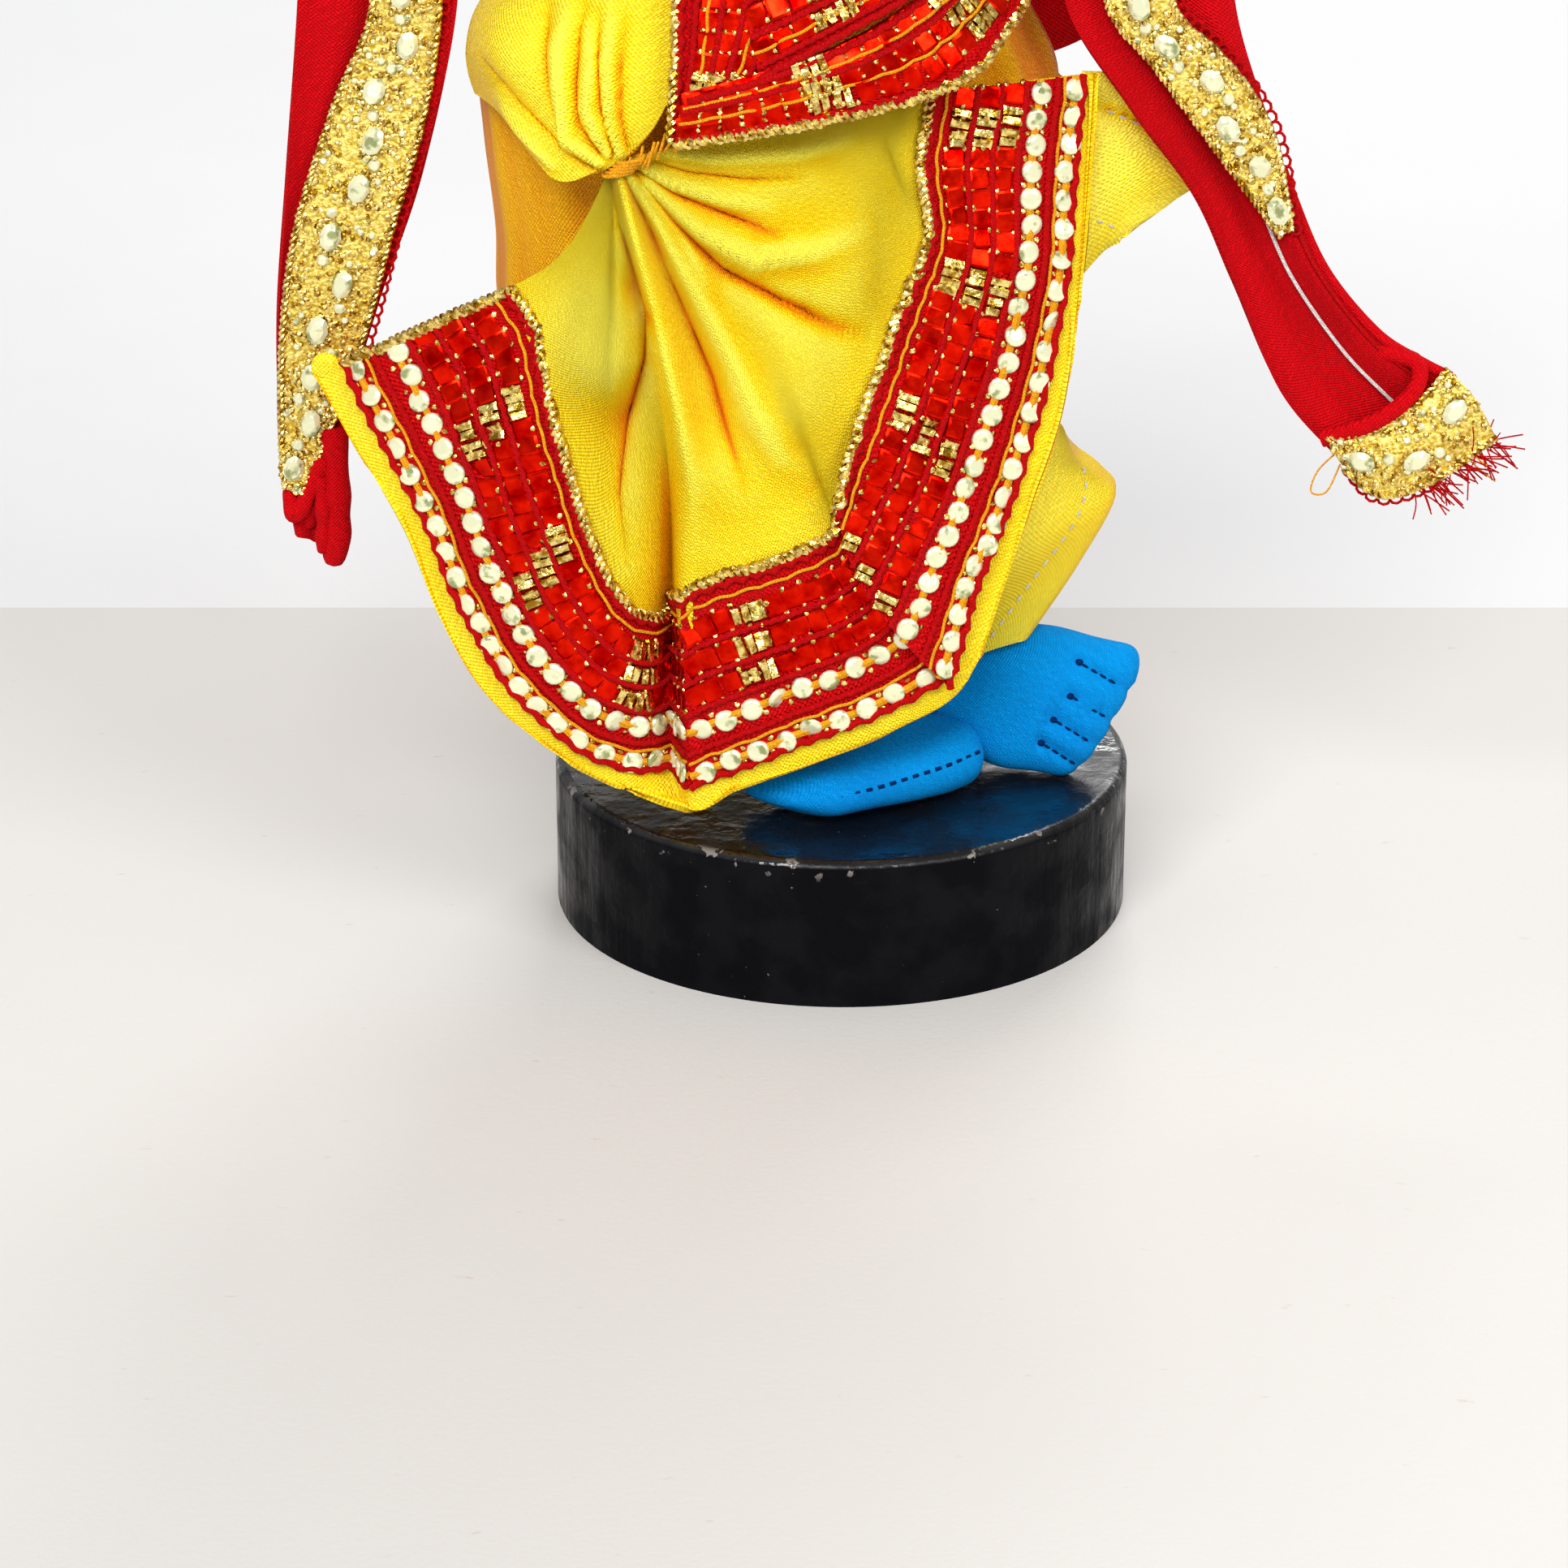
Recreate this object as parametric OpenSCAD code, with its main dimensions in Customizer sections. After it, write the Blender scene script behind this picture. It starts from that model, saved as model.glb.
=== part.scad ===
// Rajasthani dressed cloth figure: a stuffed flute player on a turned, lacquered disc.
// Units are millimetres. The table is z = 0 and the disc's axis is the Z axis.
// The figure faces -Y, so its own right side is at -X.

/* [Stand] */
// Diameter of the turned base disc
base_d = 95; // [90:1:110]
// Thickness of the base disc
base_h = 25; // [22:1:32]
// Radius of the worn edge at the top of the disc
base_edge_r = 1.6; // [0.5:0.1:3]

/* [Armature] */
// Diameter of the leg and spine wires
wire_d = 3; // [2:0.1:3.4]
// Diameter of the arm wires
arm_wire_d = 1.8; // [1.2:0.1:2.2]
// Depth of the wires' holes in the disc
wire_hole_depth = 16; // [10:1:20]

/* [Costume] */
// Width of the brocade tape along the apron
tape_w = 24; // [18:1:25]
// Thickness of the brocade tape with its mirrors
tape_t = 1.2; // [1:0.1:1.4]
// Thickness of a double layer of cloth
cloth_t = 2; // [1.4:0.1:2.4]
// Diameter of the anklet and necklace beads
bead_d = 3; // [2:0.1:3.4]

/* [Flute] */
// Outside diameter of the flute
flute_d = 6; // [5:0.1:6.4]
// Length of the flute
flute_l = 112; // [110:1:120]

/* [Hidden] */
$fn = 48;
fit = 0.06;            // running clearance, on the radius
gap = 0.35;            // clearance between neighbouring cloth solids
fine = 24;             // facets of a sphere inside a hull
wire_r = wire_d / 2;
arm_wire_r = arm_wire_d / 2;
bead_r = bead_d / 2;
flute_r = flute_d / 2;

// The skeleton, measured from the top of the disc
right_ankle = [9, -12, 17];
left_ankle = [22, 0, 20];
right_knee = [-16, -13, 50];
left_knee = [10, 4, 50];
right_hip = [-28, -1, 83];
left_hip = [2, 3, 83];
spine_foot = [-12, 2, 100];
spine_bend = [-4, 1, 184];
spine_top = [-4, 1, 244];
head_axis = [-4, 1];
right_shoulder = [-42, 1, 191];
left_shoulder = [34, 1, 191];
right_elbow = [-82, -8, 178];
left_elbow = [48, -26, 170];
right_grip = [-62, -30, 218];
left_palm = [2, -34, 207];
flute_tip = [22, -30, 222];
flute_dir = unit(right_grip - flute_tip);
right_elbow_axis = unit(cross(right_grip - right_elbow, right_shoulder - right_elbow));
left_elbow_axis = unit(cross(left_palm - left_elbow, left_shoulder - left_elbow));
pin_r = 0.8;           // elbow pins
eye_r = 2.2;           // eyes of the forearm wires
eye_t = 1.6;
elbow_room = 3.4;      // clear space around each elbow pin

// Stacked rings of the body: height, centre x, centre y, half width, half depth
pelvis_rings = [[84, -14, 1, 28, 16], [94, -13, 1, 37, 20], [108, -12, 2, 40, 21.5],
    [118, -12, 2, 37, 20], [124, -12, 2, 33, 18.5]];
torso_rings = [[124.4, -12, 2, 32, 18], [136, -11, 2, 28, 16.5], [150, -8, 1.5, 26, 16],
    [165, -6, 1, 29, 17.5], [180, -5, 1, 32, 18.5], [190, -4, 1, 31, 17], [197, -4, 1, 21, 13],
    [201, -4, 1, 9, 8]];
neck_rings = [[201.4, -4, 1, 8.5, 8], [205, -4, 1, 7.6, 7.6], [208.6, -4, 1, 8, 8]];
head_rings = [[209, -4, 0, 8, 8], [213, -4, -1, 14, 14.5], [220, -4, 0, 19, 19.5], [230, -4, 0.5, 21, 21.5],
    [240, -4, 1, 22, 22], [250, -4, 1, 20.5, 20.5], [257, -4, 1, 15, 15], [260, -4, 1, 7, 7]];
seat_rings = [[58, -8, -1, 33, 25], [75, -12, -1, 39, 25], [90, -12, 0, 43, 24.5], [105, -12, 1, 44.5, 25],
    [118, -12, 2, 43, 24], [128, -12, 2, 38.5, 22.5], [134, -11, 2, 35, 21]];
sash_rings = [[134.5, -11, 2, 35.5, 21.5], [142, -10, 2, 33, 20.5], [150, -8, 1.5, 31, 20]];

// Edges of the apron, from its right corner round to its left, and the gathered line they hang from
apron_top = [[-43, -26, 89], [-38, -28, 100], [-35, -28.5, 107], [-32, -29, 109], [-24, -30, 110],
    [-14, -30, 111], [-4, -29, 112]];
apron_hem = [[-80, -20, 74], [-66, -28, 44], [-46, -34, 16], [-24, -37, 5], [14, -33, 22],
    [26, -29, 52], [36, -23, 88], [38, -15, 118]];
apron_cols = 30;
hem_edge = 0.03;       // share of each fold left plain below the tape

// ---- Vectors and curves ----
function unit(v) = v / norm(v);
function mix(a, b, t) = a * (1 - t) + b * t;
function clamp(i, n) = max(0, min(n, i));
// Point at t between b and c, on the smooth curve through a, b, c and d
function smooth_point(a, b, c, d, t) =
    0.5 * (2 * b + (c - a) * t + (2 * a - 5 * b + 4 * c - d) * t * t + (3 * b - a - 3 * c + d) * t * t * t);
// n + 1 points along the smooth curve through pts
function smooth(pts, n) = let (last = len(pts) - 1) [for (i = [0:n])
    let (s = i / n * last, k = min(floor(s), last - 1))
    smooth_point(pts[clamp(k - 1, last)], pts[k], pts[k + 1], pts[clamp(k + 2, last)], s - k)];
// Column c of a stack of rings, as a table over height
function ring_table(rings, c) = [for (r = rings) [r[0], r[c]]];
// Y of the front of a stack of rings at x and z
function front_y(rings, x, z) = let (
    mid_x = lookup(z, ring_table(rings, 1)),
    mid_y = lookup(z, ring_table(rings, 2)),
    half_w = lookup(z, ring_table(rings, 3)),
    half_d = lookup(z, ring_table(rings, 4)))
    mid_y - half_d * sqrt(max(0, 1 - pow((x - mid_x) / half_w, 2)));

// ---- Cloth ----
// Rows of points from edge a to edge b, bulging by the vector bulge half way
function between(a, b, n, bulge = [0, 0, 0]) = [for (i = [0:n]) [for (j = [0:len(a) - 1])
    mix(a[j], b[j], i / n) + bulge * sin(180 * i / n)]];
function grid_normal(g, i, j) = let (last_i = len(g) - 1, last_j = len(g[0]) - 1) unit(cross(
    g[i][clamp(j + 1, last_j)] - g[i][clamp(j - 1, last_j)],
    g[clamp(i + 1, last_i)][j] - g[clamp(i - 1, last_i)][j]));
function lifted(g, d) = [for (i = [0:len(g) - 1]) [for (j = [0:len(g[0]) - 1])
    g[i][j] + d * grid_normal(g, i, j)]];

// A cloth of thickness t behind a grid of points
module cloth(front, t) {
    back = lifted(front, t);
    n = len(front);
    m = len(front[0]);
    function f(i, j) = i * m + j;
    function b(i, j) = n * m + i * m + j;
    points = concat([for (r = front) each r], [for (r = back) each r]);
    front_faces = [for (i = [0:n - 2], j = [0:m - 2]) each [
        [f(i, j), f(i, j + 1), f(i + 1, j)],
        [f(i, j + 1), f(i + 1, j + 1), f(i + 1, j)]]];
    back_faces = [for (i = [0:n - 2], j = [0:m - 2]) each [
        [b(i, j), b(i + 1, j), b(i, j + 1)],
        [b(i, j + 1), b(i + 1, j), b(i + 1, j + 1)]]];
    row_edges = [for (j = [0:m - 2]) each [
        [f(0, j), b(0, j), f(0, j + 1)], [f(0, j + 1), b(0, j), b(0, j + 1)],
        [f(n - 1, j), f(n - 1, j + 1), b(n - 1, j)], [f(n - 1, j + 1), b(n - 1, j + 1), b(n - 1, j)]]];
    column_edges = [for (i = [0:n - 2]) each [
        [f(i, 0), f(i + 1, 0), b(i, 0)], [f(i + 1, 0), b(i + 1, 0), b(i, 0)],
        [f(i, m - 1), b(i, m - 1), f(i + 1, m - 1)], [f(i + 1, m - 1), b(i, m - 1), b(i + 1, m - 1)]]];
    polyhedron(points, concat(front_faces, back_faces, row_edges, column_edges));
}

// ---- Stuffed and wound forms ----
function ring_points(r, sides, inset = 0) = [for (k = [0:sides - 1])
    [r[1] + (r[3] - inset) * cos(360 * k / sides), r[2] + (r[4] - inset) * sin(360 * k / sides), r[0]]];

// A closed body through stacked rings
module stack(rings, sides = 28) {
    n = len(rings);
    points = [for (r = rings) each ring_points(r, sides)];
    walls = [for (i = [0:n - 2], k = [0:sides - 1]) let (k2 = (k + 1) % sides) each [
        [i * sides + k, (i + 1) * sides + k, i * sides + k2],
        [i * sides + k2, (i + 1) * sides + k, (i + 1) * sides + k2]]];
    floor_face = [for (k = [0:sides - 1]) k];
    roof_face = [for (k = [sides - 1:-1:0]) (n - 1) * sides + k];
    polyhedron(points, concat(walls, [floor_face, roof_face]));
}

// An open tube of cloth of thickness t inside stacked rings
module sleeve(rings, t, sides = 36) {
    n = len(rings);
    last = n - 1;
    function o(i, k) = i * sides + k;
    function s(i, k) = (n + i) * sides + k;
    points = concat([for (r = rings) each ring_points(r, sides)],
        [for (r = rings) each ring_points(r, sides, t)]);
    walls = [for (i = [0:n - 2], k = [0:sides - 1]) let (k2 = (k + 1) % sides) each [
        [o(i, k), o(i + 1, k), o(i, k2)], [o(i, k2), o(i + 1, k), o(i + 1, k2)],
        [s(i, k), s(i, k2), s(i + 1, k)], [s(i, k2), s(i + 1, k2), s(i + 1, k)]]];
    rims = [for (k = [0:sides - 1]) let (k2 = (k + 1) % sides) each [
        [o(0, k), o(0, k2), s(0, k)], [o(0, k2), s(0, k2), s(0, k)],
        [o(last, k), s(last, k), o(last, k2)], [o(last, k2), s(last, k), s(last, k2)]]];
    polyhedron(points, concat(walls, rims));
}

// A stuffed limb along [x, y, z, radius] points, with rounded ends
module limb(spots, n = 8, sides = 18) {
    path = smooth(spots, n);
    function at(i) = [path[i][0], path[i][1], path[i][2]];
    start_dir = unit(at(1) - at(0));
    end_dir = unit(at(n) - at(n - 1));
    r0 = path[0][3];
    r1 = path[n][3];
    centres = concat([at(0) - start_dir * r0 * 0.9, at(0) - start_dir * r0 * 0.6], [for (i = [0:n]) at(i)],
        [at(n) + end_dir * r1 * 0.6, at(n) + end_dir * r1 * 0.9]);
    radii = concat([r0 * 0.44, r0 * 0.8], [for (p = path) p[3]], [r1 * 0.8, r1 * 0.44]);
    last = len(centres) - 1;
    points = [for (i = [0:last]) each let (
        dir = unit(centres[min(i + 1, last)] - centres[max(i - 1, 0)]),
        u = unit(cross(dir, [0.2, 1, 0.1])),
        v = cross(dir, u))
        [for (k = [0:sides - 1]) centres[i]
            + radii[i] * (u * cos(360 * k / sides) + v * sin(360 * k / sides))]];
    walls = [for (i = [0:last - 1], k = [0:sides - 1]) let (k2 = (k + 1) % sides) each [
        [i * sides + k, (i + 1) * sides + k, i * sides + k2],
        [i * sides + k2, (i + 1) * sides + k, (i + 1) * sides + k2]]];
    polyhedron(points, concat(walls, [[for (k = [0:sides - 1]) k],
        [for (k = [sides - 1:-1:0]) last * sides + k]]));
}

// ---- Wires and beads ----
// Children with their Z axis turned along dir, and their origin at a
module aim(a, dir) translate(a)
    rotate([0, acos(dir[2] / norm(dir)), atan2(dir[1], dir[0])]) children();
module rod(a, b, r) aim(a, b - a) cylinder(h = norm(b - a), r = r);
// A wire bent through points
module wire(pts, r) {
    for (i = [0:len(pts) - 2]) rod(pts[i], pts[i + 1], r);
    for (i = [1:len(pts) - 2]) translate(pts[i]) sphere(r + 0.2);
}
// A flat washer-like ring round the line through c along dir
module band(c, dir, inner_r, outer_r, h) aim(c - unit(dir) * h / 2, dir) difference() {
    cylinder(h = h, r = outer_r);
    translate([0, 0, -1]) cylinder(h = h + 2, r = inner_r);
}
module bead_ring(c, dir, ring_r, r, count) aim(c, dir)
    for (k = [0:count - 1]) rotate(360 * k / count) translate([ring_r, 0, 0]) sphere(r, $fn = 20);
// Everything of the figure stands on the disc
module on_disc() translate([0, 0, base_h]) children();

// ---- Stand and armature ----
module wire_hole(foot) translate([foot[0], foot[1], base_h - wire_hole_depth])
    cylinder(h = wire_hole_depth + 1, r = wire_r);

module base_disc() color("#0b0b0c") difference() {
    rotate_extrude($fn = 96) {
        square([base_d / 2 - base_edge_r, base_h]);
        square([base_d / 2, base_h - base_edge_r]);
        translate([base_d / 2 - base_edge_r, base_h - base_edge_r]) circle(base_edge_r);
    }
    wire_hole(right_ankle);
    wire_hole(left_ankle);
}

module leg_wire(ankle, knee, hip) color("silver") on_disc()
    wire([[ankle[0], ankle[1], -wire_hole_depth], ankle, knee, hip, hip + [3, 0, 16]], wire_r);
module right_leg_wire() leg_wire(right_ankle, right_knee, right_hip);
module left_leg_wire() leg_wire(left_ankle, left_knee, left_hip);

module spine_wire() color("silver") on_disc()
    wire([spine_foot, [-10, 2, 150], spine_bend, spine_top], wire_r);

// The arm wire crosses in front of the spine wire
module arm_wire() color("silver") on_disc() {
    forward = [0, -wire_r - arm_wire_r - 0.4, 0];
    wire([right_elbow + right_elbow_axis * 2.6, right_shoulder + forward, left_shoulder + forward,
        left_elbow + left_elbow_axis * 2.6], arm_wire_r);
}

// ---- Stuffed body ----
// The right foot lies flat and points to the front
module right_foot() color("#0a78c2") on_disc() hull() {
    translate([-6.5, -28.5, 4.6]) sphere(4.2, $fn = fine);
    translate([-15, -24.5, 4.6]) sphere(4.2, $fn = fine);
    translate([14, -19.5, 5]) sphere(4.4, $fn = fine);
    translate([5, -13, 6]) sphere(5, $fn = fine);
    translate([9, -13.5, 11]) sphere(4.6, $fn = fine);
}
// The left foot is rolled on to its outer edge, with its toes to the side
module left_foot() color("#0a78c2") on_disc() hull() {
    translate([20, -5, 5.6]) sphere(5, $fn = fine);
    translate([22, -0.5, 14]) sphere(6, $fn = fine);
    translate([33, -12, 5.2]) sphere(4.6, $fn = fine);
    translate([44, -3, 14]) sphere(4.2, $fn = fine);
    translate([37, -13, 6]) sphere(4, $fn = fine);
    translate([26, 3, 10]) sphere(5, $fn = fine);
}
module leg(ankle, knee, hip, foot_gap) color("#0a78c2") on_disc()
    limb([[hip[0], hip[1], hip[2] - 14, 13.5], [knee[0], knee[1], knee[2], 10.5],
        [ankle[0], ankle[1], ankle[2] + foot_gap, 6]]);
module right_leg() leg(right_ankle, right_knee, right_hip, 5);
module left_leg() leg(left_ankle, left_knee, left_hip, 7);
module pelvis() color("#0a78c2") on_disc() stack(pelvis_rings);
module torso() color("#0a78c2") on_disc() stack(torso_rings);
module neck() color("#0a78c2") on_disc() stack(neck_rings);

module anklet(ankle, knee, up, r) color("#d80d0d") on_disc() {
    dir = unit(knee - ankle);
    bead_ring(ankle + dir * up, dir, r, bead_r, 14);
}
module right_anklet() anklet(right_ankle, right_knee, 8.5, 10.6);
module left_anklet() anklet(left_ankle, left_knee, 15.5, 10.6);

// ---- Dhoti ----
module dhoti_seat() color("#f2c512") on_disc() sleeve(seat_rings, cloth_t);

top_line = smooth(apron_top, apron_cols);
hem_line = smooth(apron_hem, apron_cols);
// Point at share s from the gathered line to the hem, on fold j of the apron
function apron_point(j, s) = mix(top_line[j], hem_line[j], s) + [0, -3 * sin(180 * s), 0];
module dhoti_apron() color("#f5d020") on_disc()
    cloth([for (i = [0:8]) [for (j = [0:apron_cols]) apron_point(j, i / 8)]], cloth_t);

// A stretch of tape from fold a to fold b, just in front of the apron
module apron_tape(a, b) color("#c01010") on_disc() {
    front = [for (i = [0:4]) [for (j = [a:b]) let (
        run = norm(hem_line[j] - top_line[j]),
        s = 1 - hem_edge - tape_w / run * (1 - i / 4))
        apron_point(j, s)]];
    cloth(lifted(front, -tape_t - gap), tape_t);
}
module apron_tape_right() apron_tape(2, 13);
module apron_tape_front() apron_tape(15, 20);
module apron_tape_left() apron_tape(22, 29);

module dhoti_back_drape() color("#f2c512") on_disc() {
    top = [[38, -2, 100], [36, 16, 100], [14, 29, 100], [-14, 31, 100], [-42, 26, 100], [-59, 8, 96]];
    hem = [[43, 4, 44], [33, 20, 28], [12, 32, 22], [-16, 36, 22], [-46, 26, 26], [-62, -4, 34]];
    cloth(between(smooth(top, 16), smooth(hem, 16), 6), cloth_t);
}
module dhoti_side_flap() color("#f2c512") on_disc() {
    inner = [[39, -10, 118], [42, -9, 102], [42, -10, 87]];
    outer = [[46, -4, 116], [56, -2, 99], [45, -6, 87]];
    cloth(between(smooth(outer, 6), smooth(inner, 6), 3), 1.6);
}
// The pleats above the tie
module dhoti_gather() color("#f5d020") on_disc() stack([[112, -34.5, -27, 4, 1.8], [118, -36, -27, 8, 2],
    [126, -37, -26, 12, 2.2], [133, -37, -25, 14, 2.2]], 20);
module gather_tie() color("#d2691e") on_disc() translate([-34.5, -31.4, 107.4]) rotate([90, 0, 20])
    rotate_extrude() translate([2.2, 0]) circle(0.9);

// ---- Sash ----
module waist_sash() color("#b01212") on_disc() sleeve(sash_rings, 2.2);
module sash_tail() color("#b01212") on_disc() {
    top = [[-26, -22.5, 150], [-10, -25.5, 151], [8, -24, 151], [22, -17, 150]];
    hem = [[-24, -33, 114], [-6, -34, 117], [14, -30, 122], [30, -21, 131]];
    cloth(between(smooth(top, 9), smooth(hem, 9), 5), 1.6);
}
module sash_fold() color("#8f0e0e") on_disc() {
    top = [[-16, -29.5, 140], [-4, -31, 142], [8, -30, 143]];
    hem = [[-2, -37, 119], [8, -36, 122], [19, -31, 128]];
    cloth(between(smooth(top, 6), smooth(hem, 6), 4), 1.4);
}

// ---- Jewels ----
function necklace_spot(a) = let (
    x = head_axis[0] + 13 * cos(a),
    z = 203.4 - 15 * pow(max(0, -sin(a)), 1.5))
    [x, min(head_axis[1] + 11 * sin(a), front_y(torso_rings, x, z) - bead_r - 5 * gap), z];
module necklace() color("#f0e6c8") on_disc()
    for (k = [0:25]) translate(necklace_spot(360 * k / 26)) sphere(bead_r * 0.9, $fn = 20);
module pendant() color("gold") on_disc() translate(necklace_spot(270) + [0, -0.6, -6])
    rotate([90, 0, 0]) cylinder(h = 2, r = 4, center = true);

// ---- Head ----
module head() color("#0a78c2") on_disc() difference() {
    stack(head_rings, 32);
    translate([head_axis[0], head_axis[1], 200]) cylinder(h = spine_top[2] - 200 + 0.5, r = wire_r + fit);
}
function arc_point(c, r, a, z) = [c[0] + r * cos(a), c[1] + r * sin(a), z];
module hair() color("#0c0a0a") on_disc() {
    rows = [[241.5, 22.6], [232, 22.2], [222, 21.4], [212, 18], [206, 16]];
    cloth([for (r = rows) [for (k = [0:14]) arc_point(head_axis, r[1], 205 - 230 * k / 14, r[0])]], 2.6);
}
module turban() color("#c8102e") on_disc() {
    sleeve([[242, -4, 1, 26, 26], [246, -4, 1, 28.5, 28.5], [254, -4, 1.5, 29, 29],
        [261, -4, 2, 26, 26]], 3.4);
    stack([[260.4, -4, 2, 24, 24], [266, -4, 3, 20, 20], [270, -4, 3.5, 12, 12]]);
}
module turban_band() color("gold") on_disc() translate([head_axis[0], 1.2, 248])
    rotate_extrude() translate([30.3, 0]) circle(1.1);
module turban_jewel() color("gold") on_disc() translate([head_axis[0], -31.6, 250])
    rotate([90, 0, 0]) cylinder(h = 2, r = 4.5, center = true);
// The pleated fan that stands up behind the jewel
module turban_fan() color("#e8a317") on_disc() {
    inner = [for (k = [0:8]) [-4 + 4 * cos(160 - 17.5 * k), -17, 264 + 4 * sin(160 - 17.5 * k)]];
    outer = [for (k = [0:8]) [-4 + 21 * cos(160 - 17.5 * k), -16 + 1.2 * cos(180 * k),
        264 + 19 * sin(160 - 17.5 * k)]];
    cloth(between(outer, inner, 3), 1.4);
}
module earring(side) color("gold") on_disc() translate([head_axis[0] + side * 25.8, -1, 220])
    rotate([0, 90, 0]) rotate_extrude() translate([3, 0]) circle(0.9);
module right_earring() earring(-1);
module left_earring() earring(1);

// ---- Arms ----
// [x, y, z, radius] at distance s from a along dir
function spot(a, dir, s, r) = concat(a + dir * s, r);
// The stuffing narrows to a seam at the elbow, so that the arm folds flat there
module upper_arm(shoulder, elbow) color("#0a78c2") on_disc() {
    dir = unit(shoulder - elbow);
    run = norm(shoulder - elbow);
    limb([spot(elbow, dir, elbow_room + 1.4, 1.3), spot(elbow, dir, 12, 4.4), spot(elbow, dir, 20, 6.8),
        spot(elbow, dir, run - 6, 7.6)]);
}
module elbow_pin(elbow, axis) color("silver") on_disc() rod(elbow - axis * 4, elbow + axis * 4, pin_r);
module forearm_wire(elbow, axis, end) color("silver") on_disc() difference() {
    union() {
        rod(elbow - axis * eye_t / 2, elbow + axis * eye_t / 2, eye_r);
        rod(elbow + unit(end - elbow) * 1.6, end, arm_wire_r * 0.85);
    }
    rod(elbow - axis * 3, elbow + axis * 3, pin_r + fit);
}
module forearm(elbow, end) color("#0a78c2") on_disc() {
    dir = unit(end - elbow);
    run = norm(end - elbow);
    limb([spot(elbow, dir, elbow_room + 1.4, 1.3), spot(elbow, dir, 12, 4.2), spot(elbow, dir, 20, 6.4),
        spot(elbow, dir, run - 22, 5)]);
}
module armlet(shoulder, elbow, s) color("gold") on_disc() {
    dir = unit(shoulder - elbow);
    band(elbow + dir * s, dir, 8.2, 9.4, 3.4);
}
module bangles(elbow, end) color("#d80d0d") on_disc() {
    dir = unit(end - elbow);
    for (k = [0:2]) band(end - dir * (25 - 3.2 * k), dir, 7.2, 8.4, 2.2);
}
module right_upper_arm() upper_arm(right_shoulder, right_elbow);
module left_upper_arm() upper_arm(left_shoulder, left_elbow);
module right_elbow_pin() elbow_pin(right_elbow, right_elbow_axis);
module left_elbow_pin() elbow_pin(left_elbow, left_elbow_axis);
module right_forearm() forearm(right_elbow, right_grip);
module left_forearm() forearm(left_elbow, left_palm);
module right_forearm_wire() forearm_wire(right_elbow, right_elbow_axis,
    right_grip - unit(right_grip - right_elbow) * 7);
module left_forearm_wire() forearm_wire(left_elbow, left_elbow_axis, left_palm);
module right_armlet() armlet(right_shoulder, right_elbow, 30);
module left_armlet() armlet(left_shoulder, left_elbow, 26);
module right_bangles() bangles(right_elbow, right_grip);
module left_bangles() bangles(left_elbow, left_palm);

// The right hand is closed round the flute
module right_hand() color("#0a78c2") on_disc() difference() {
    hull() {
        translate(right_grip - unit(right_grip - right_elbow) * 12.6) sphere(4, $fn = fine);
        for (side = [-1, 1]) translate(right_grip + flute_dir * 4 * side)
            sphere(6.4 - 0.2 * side, $fn = fine);
    }
    rod(right_grip - flute_dir * 40, right_grip + flute_dir * 40, flute_r + fit);
}
// The left hand lies below the flute
module left_hand() color("#0a78c2") on_disc() hull() {
    translate(left_palm - unit(left_palm - left_elbow) * 12.6) sphere(4, $fn = fine);
    translate(left_palm + [-3, 0, 1]) sphere(4.6, $fn = fine);
    translate(left_palm + [-13, 2, 7]) sphere(2.4, $fn = fine);
    translate(left_palm + [-11, -4, 5]) sphere(2.4, $fn = fine);
    translate(left_palm + [0, -5, -1]) sphere(3, $fn = fine);
}

// ---- Flute ----
module flute() color("#c99246") on_disc() difference() {
    rod(flute_tip, flute_tip + flute_dir * flute_l, flute_r);
    rod(flute_tip + flute_dir * 5, flute_tip + flute_dir * (flute_l + 1), flute_r * 0.6);
    for (s = [12, 30, 37, 44, 51]) aim(flute_tip + flute_dir * s, [0, -0.5, 1])
            cylinder(h = flute_d, r = 0.9);
}
module flute_bindings() color("gold") on_disc()
    for (s = [3, 20, flute_l - 2.4])
        band(flute_tip + flute_dir * s, flute_dir, flute_r + 0.02, flute_r + 0.9, 3);
module flute_tassel() color("#c8102e") on_disc() {
    knot = flute_tip + flute_dir * (flute_l - 6.6) + [0, 0, -flute_r - 2.2];
    translate(knot) sphere(2);
    translate(knot - [0, 0, 16]) cylinder(h = 15, r1 = 2.6, r2 = 1.2);
}

// ---- Stole ----
stole_t = 1.6;
arm_girth = [[4.8, 1.6], [12, 4.8], [20, 7.2], [30, 8]];   // radius of the upper arm, from the elbow
// The stole lies over the upper arm, from distance s0 to s1 above the elbow
module stole_wrap(shoulder, elbow, s0, s1) color("#c40808") on_disc() {
    dir = unit(shoulder - elbow);
    up = unit([0, 0, 1] - dir * dir[2]);
    side = cross(dir, up);
    cloth([for (k = [0:12]) let (a = 105 - 210 * k / 12) [for (s = [s0:(s1 - s0) / 4:s1])
        elbow + dir * s + (lookup(s, arm_girth) + gap) * (up * cos(a) + side * sin(a))]], stole_t);
}
module right_stole_wrap() stole_wrap(right_shoulder, right_elbow, 9, 24);
module left_stole_wrap() stole_wrap(left_shoulder, left_elbow, 8, 21);

// The stole sags behind the waist, between the two arms
module stole_back() color("#c40808") on_disc() {
    upper = [[-60, 7, 184], [-58, 17, 176], [-48, 27, 163], [-28, 34, 152], [-4, 35.5, 147], [22, 34, 149],
        [36, 24, 158], [34, 8, 166], [33, -3, 169]];
    lower = [[-76, 6, 175], [-74, 17, 160], [-60, 27, 138], [-34, 34, 119], [-4, 35.5, 111], [26, 34, 108],
        [46, 25, 120], [42, 8, 145], [38, -12, 163]];
    cloth(between(smooth(upper, 28), smooth(lower, 28), 3), -stole_t);
}
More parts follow.
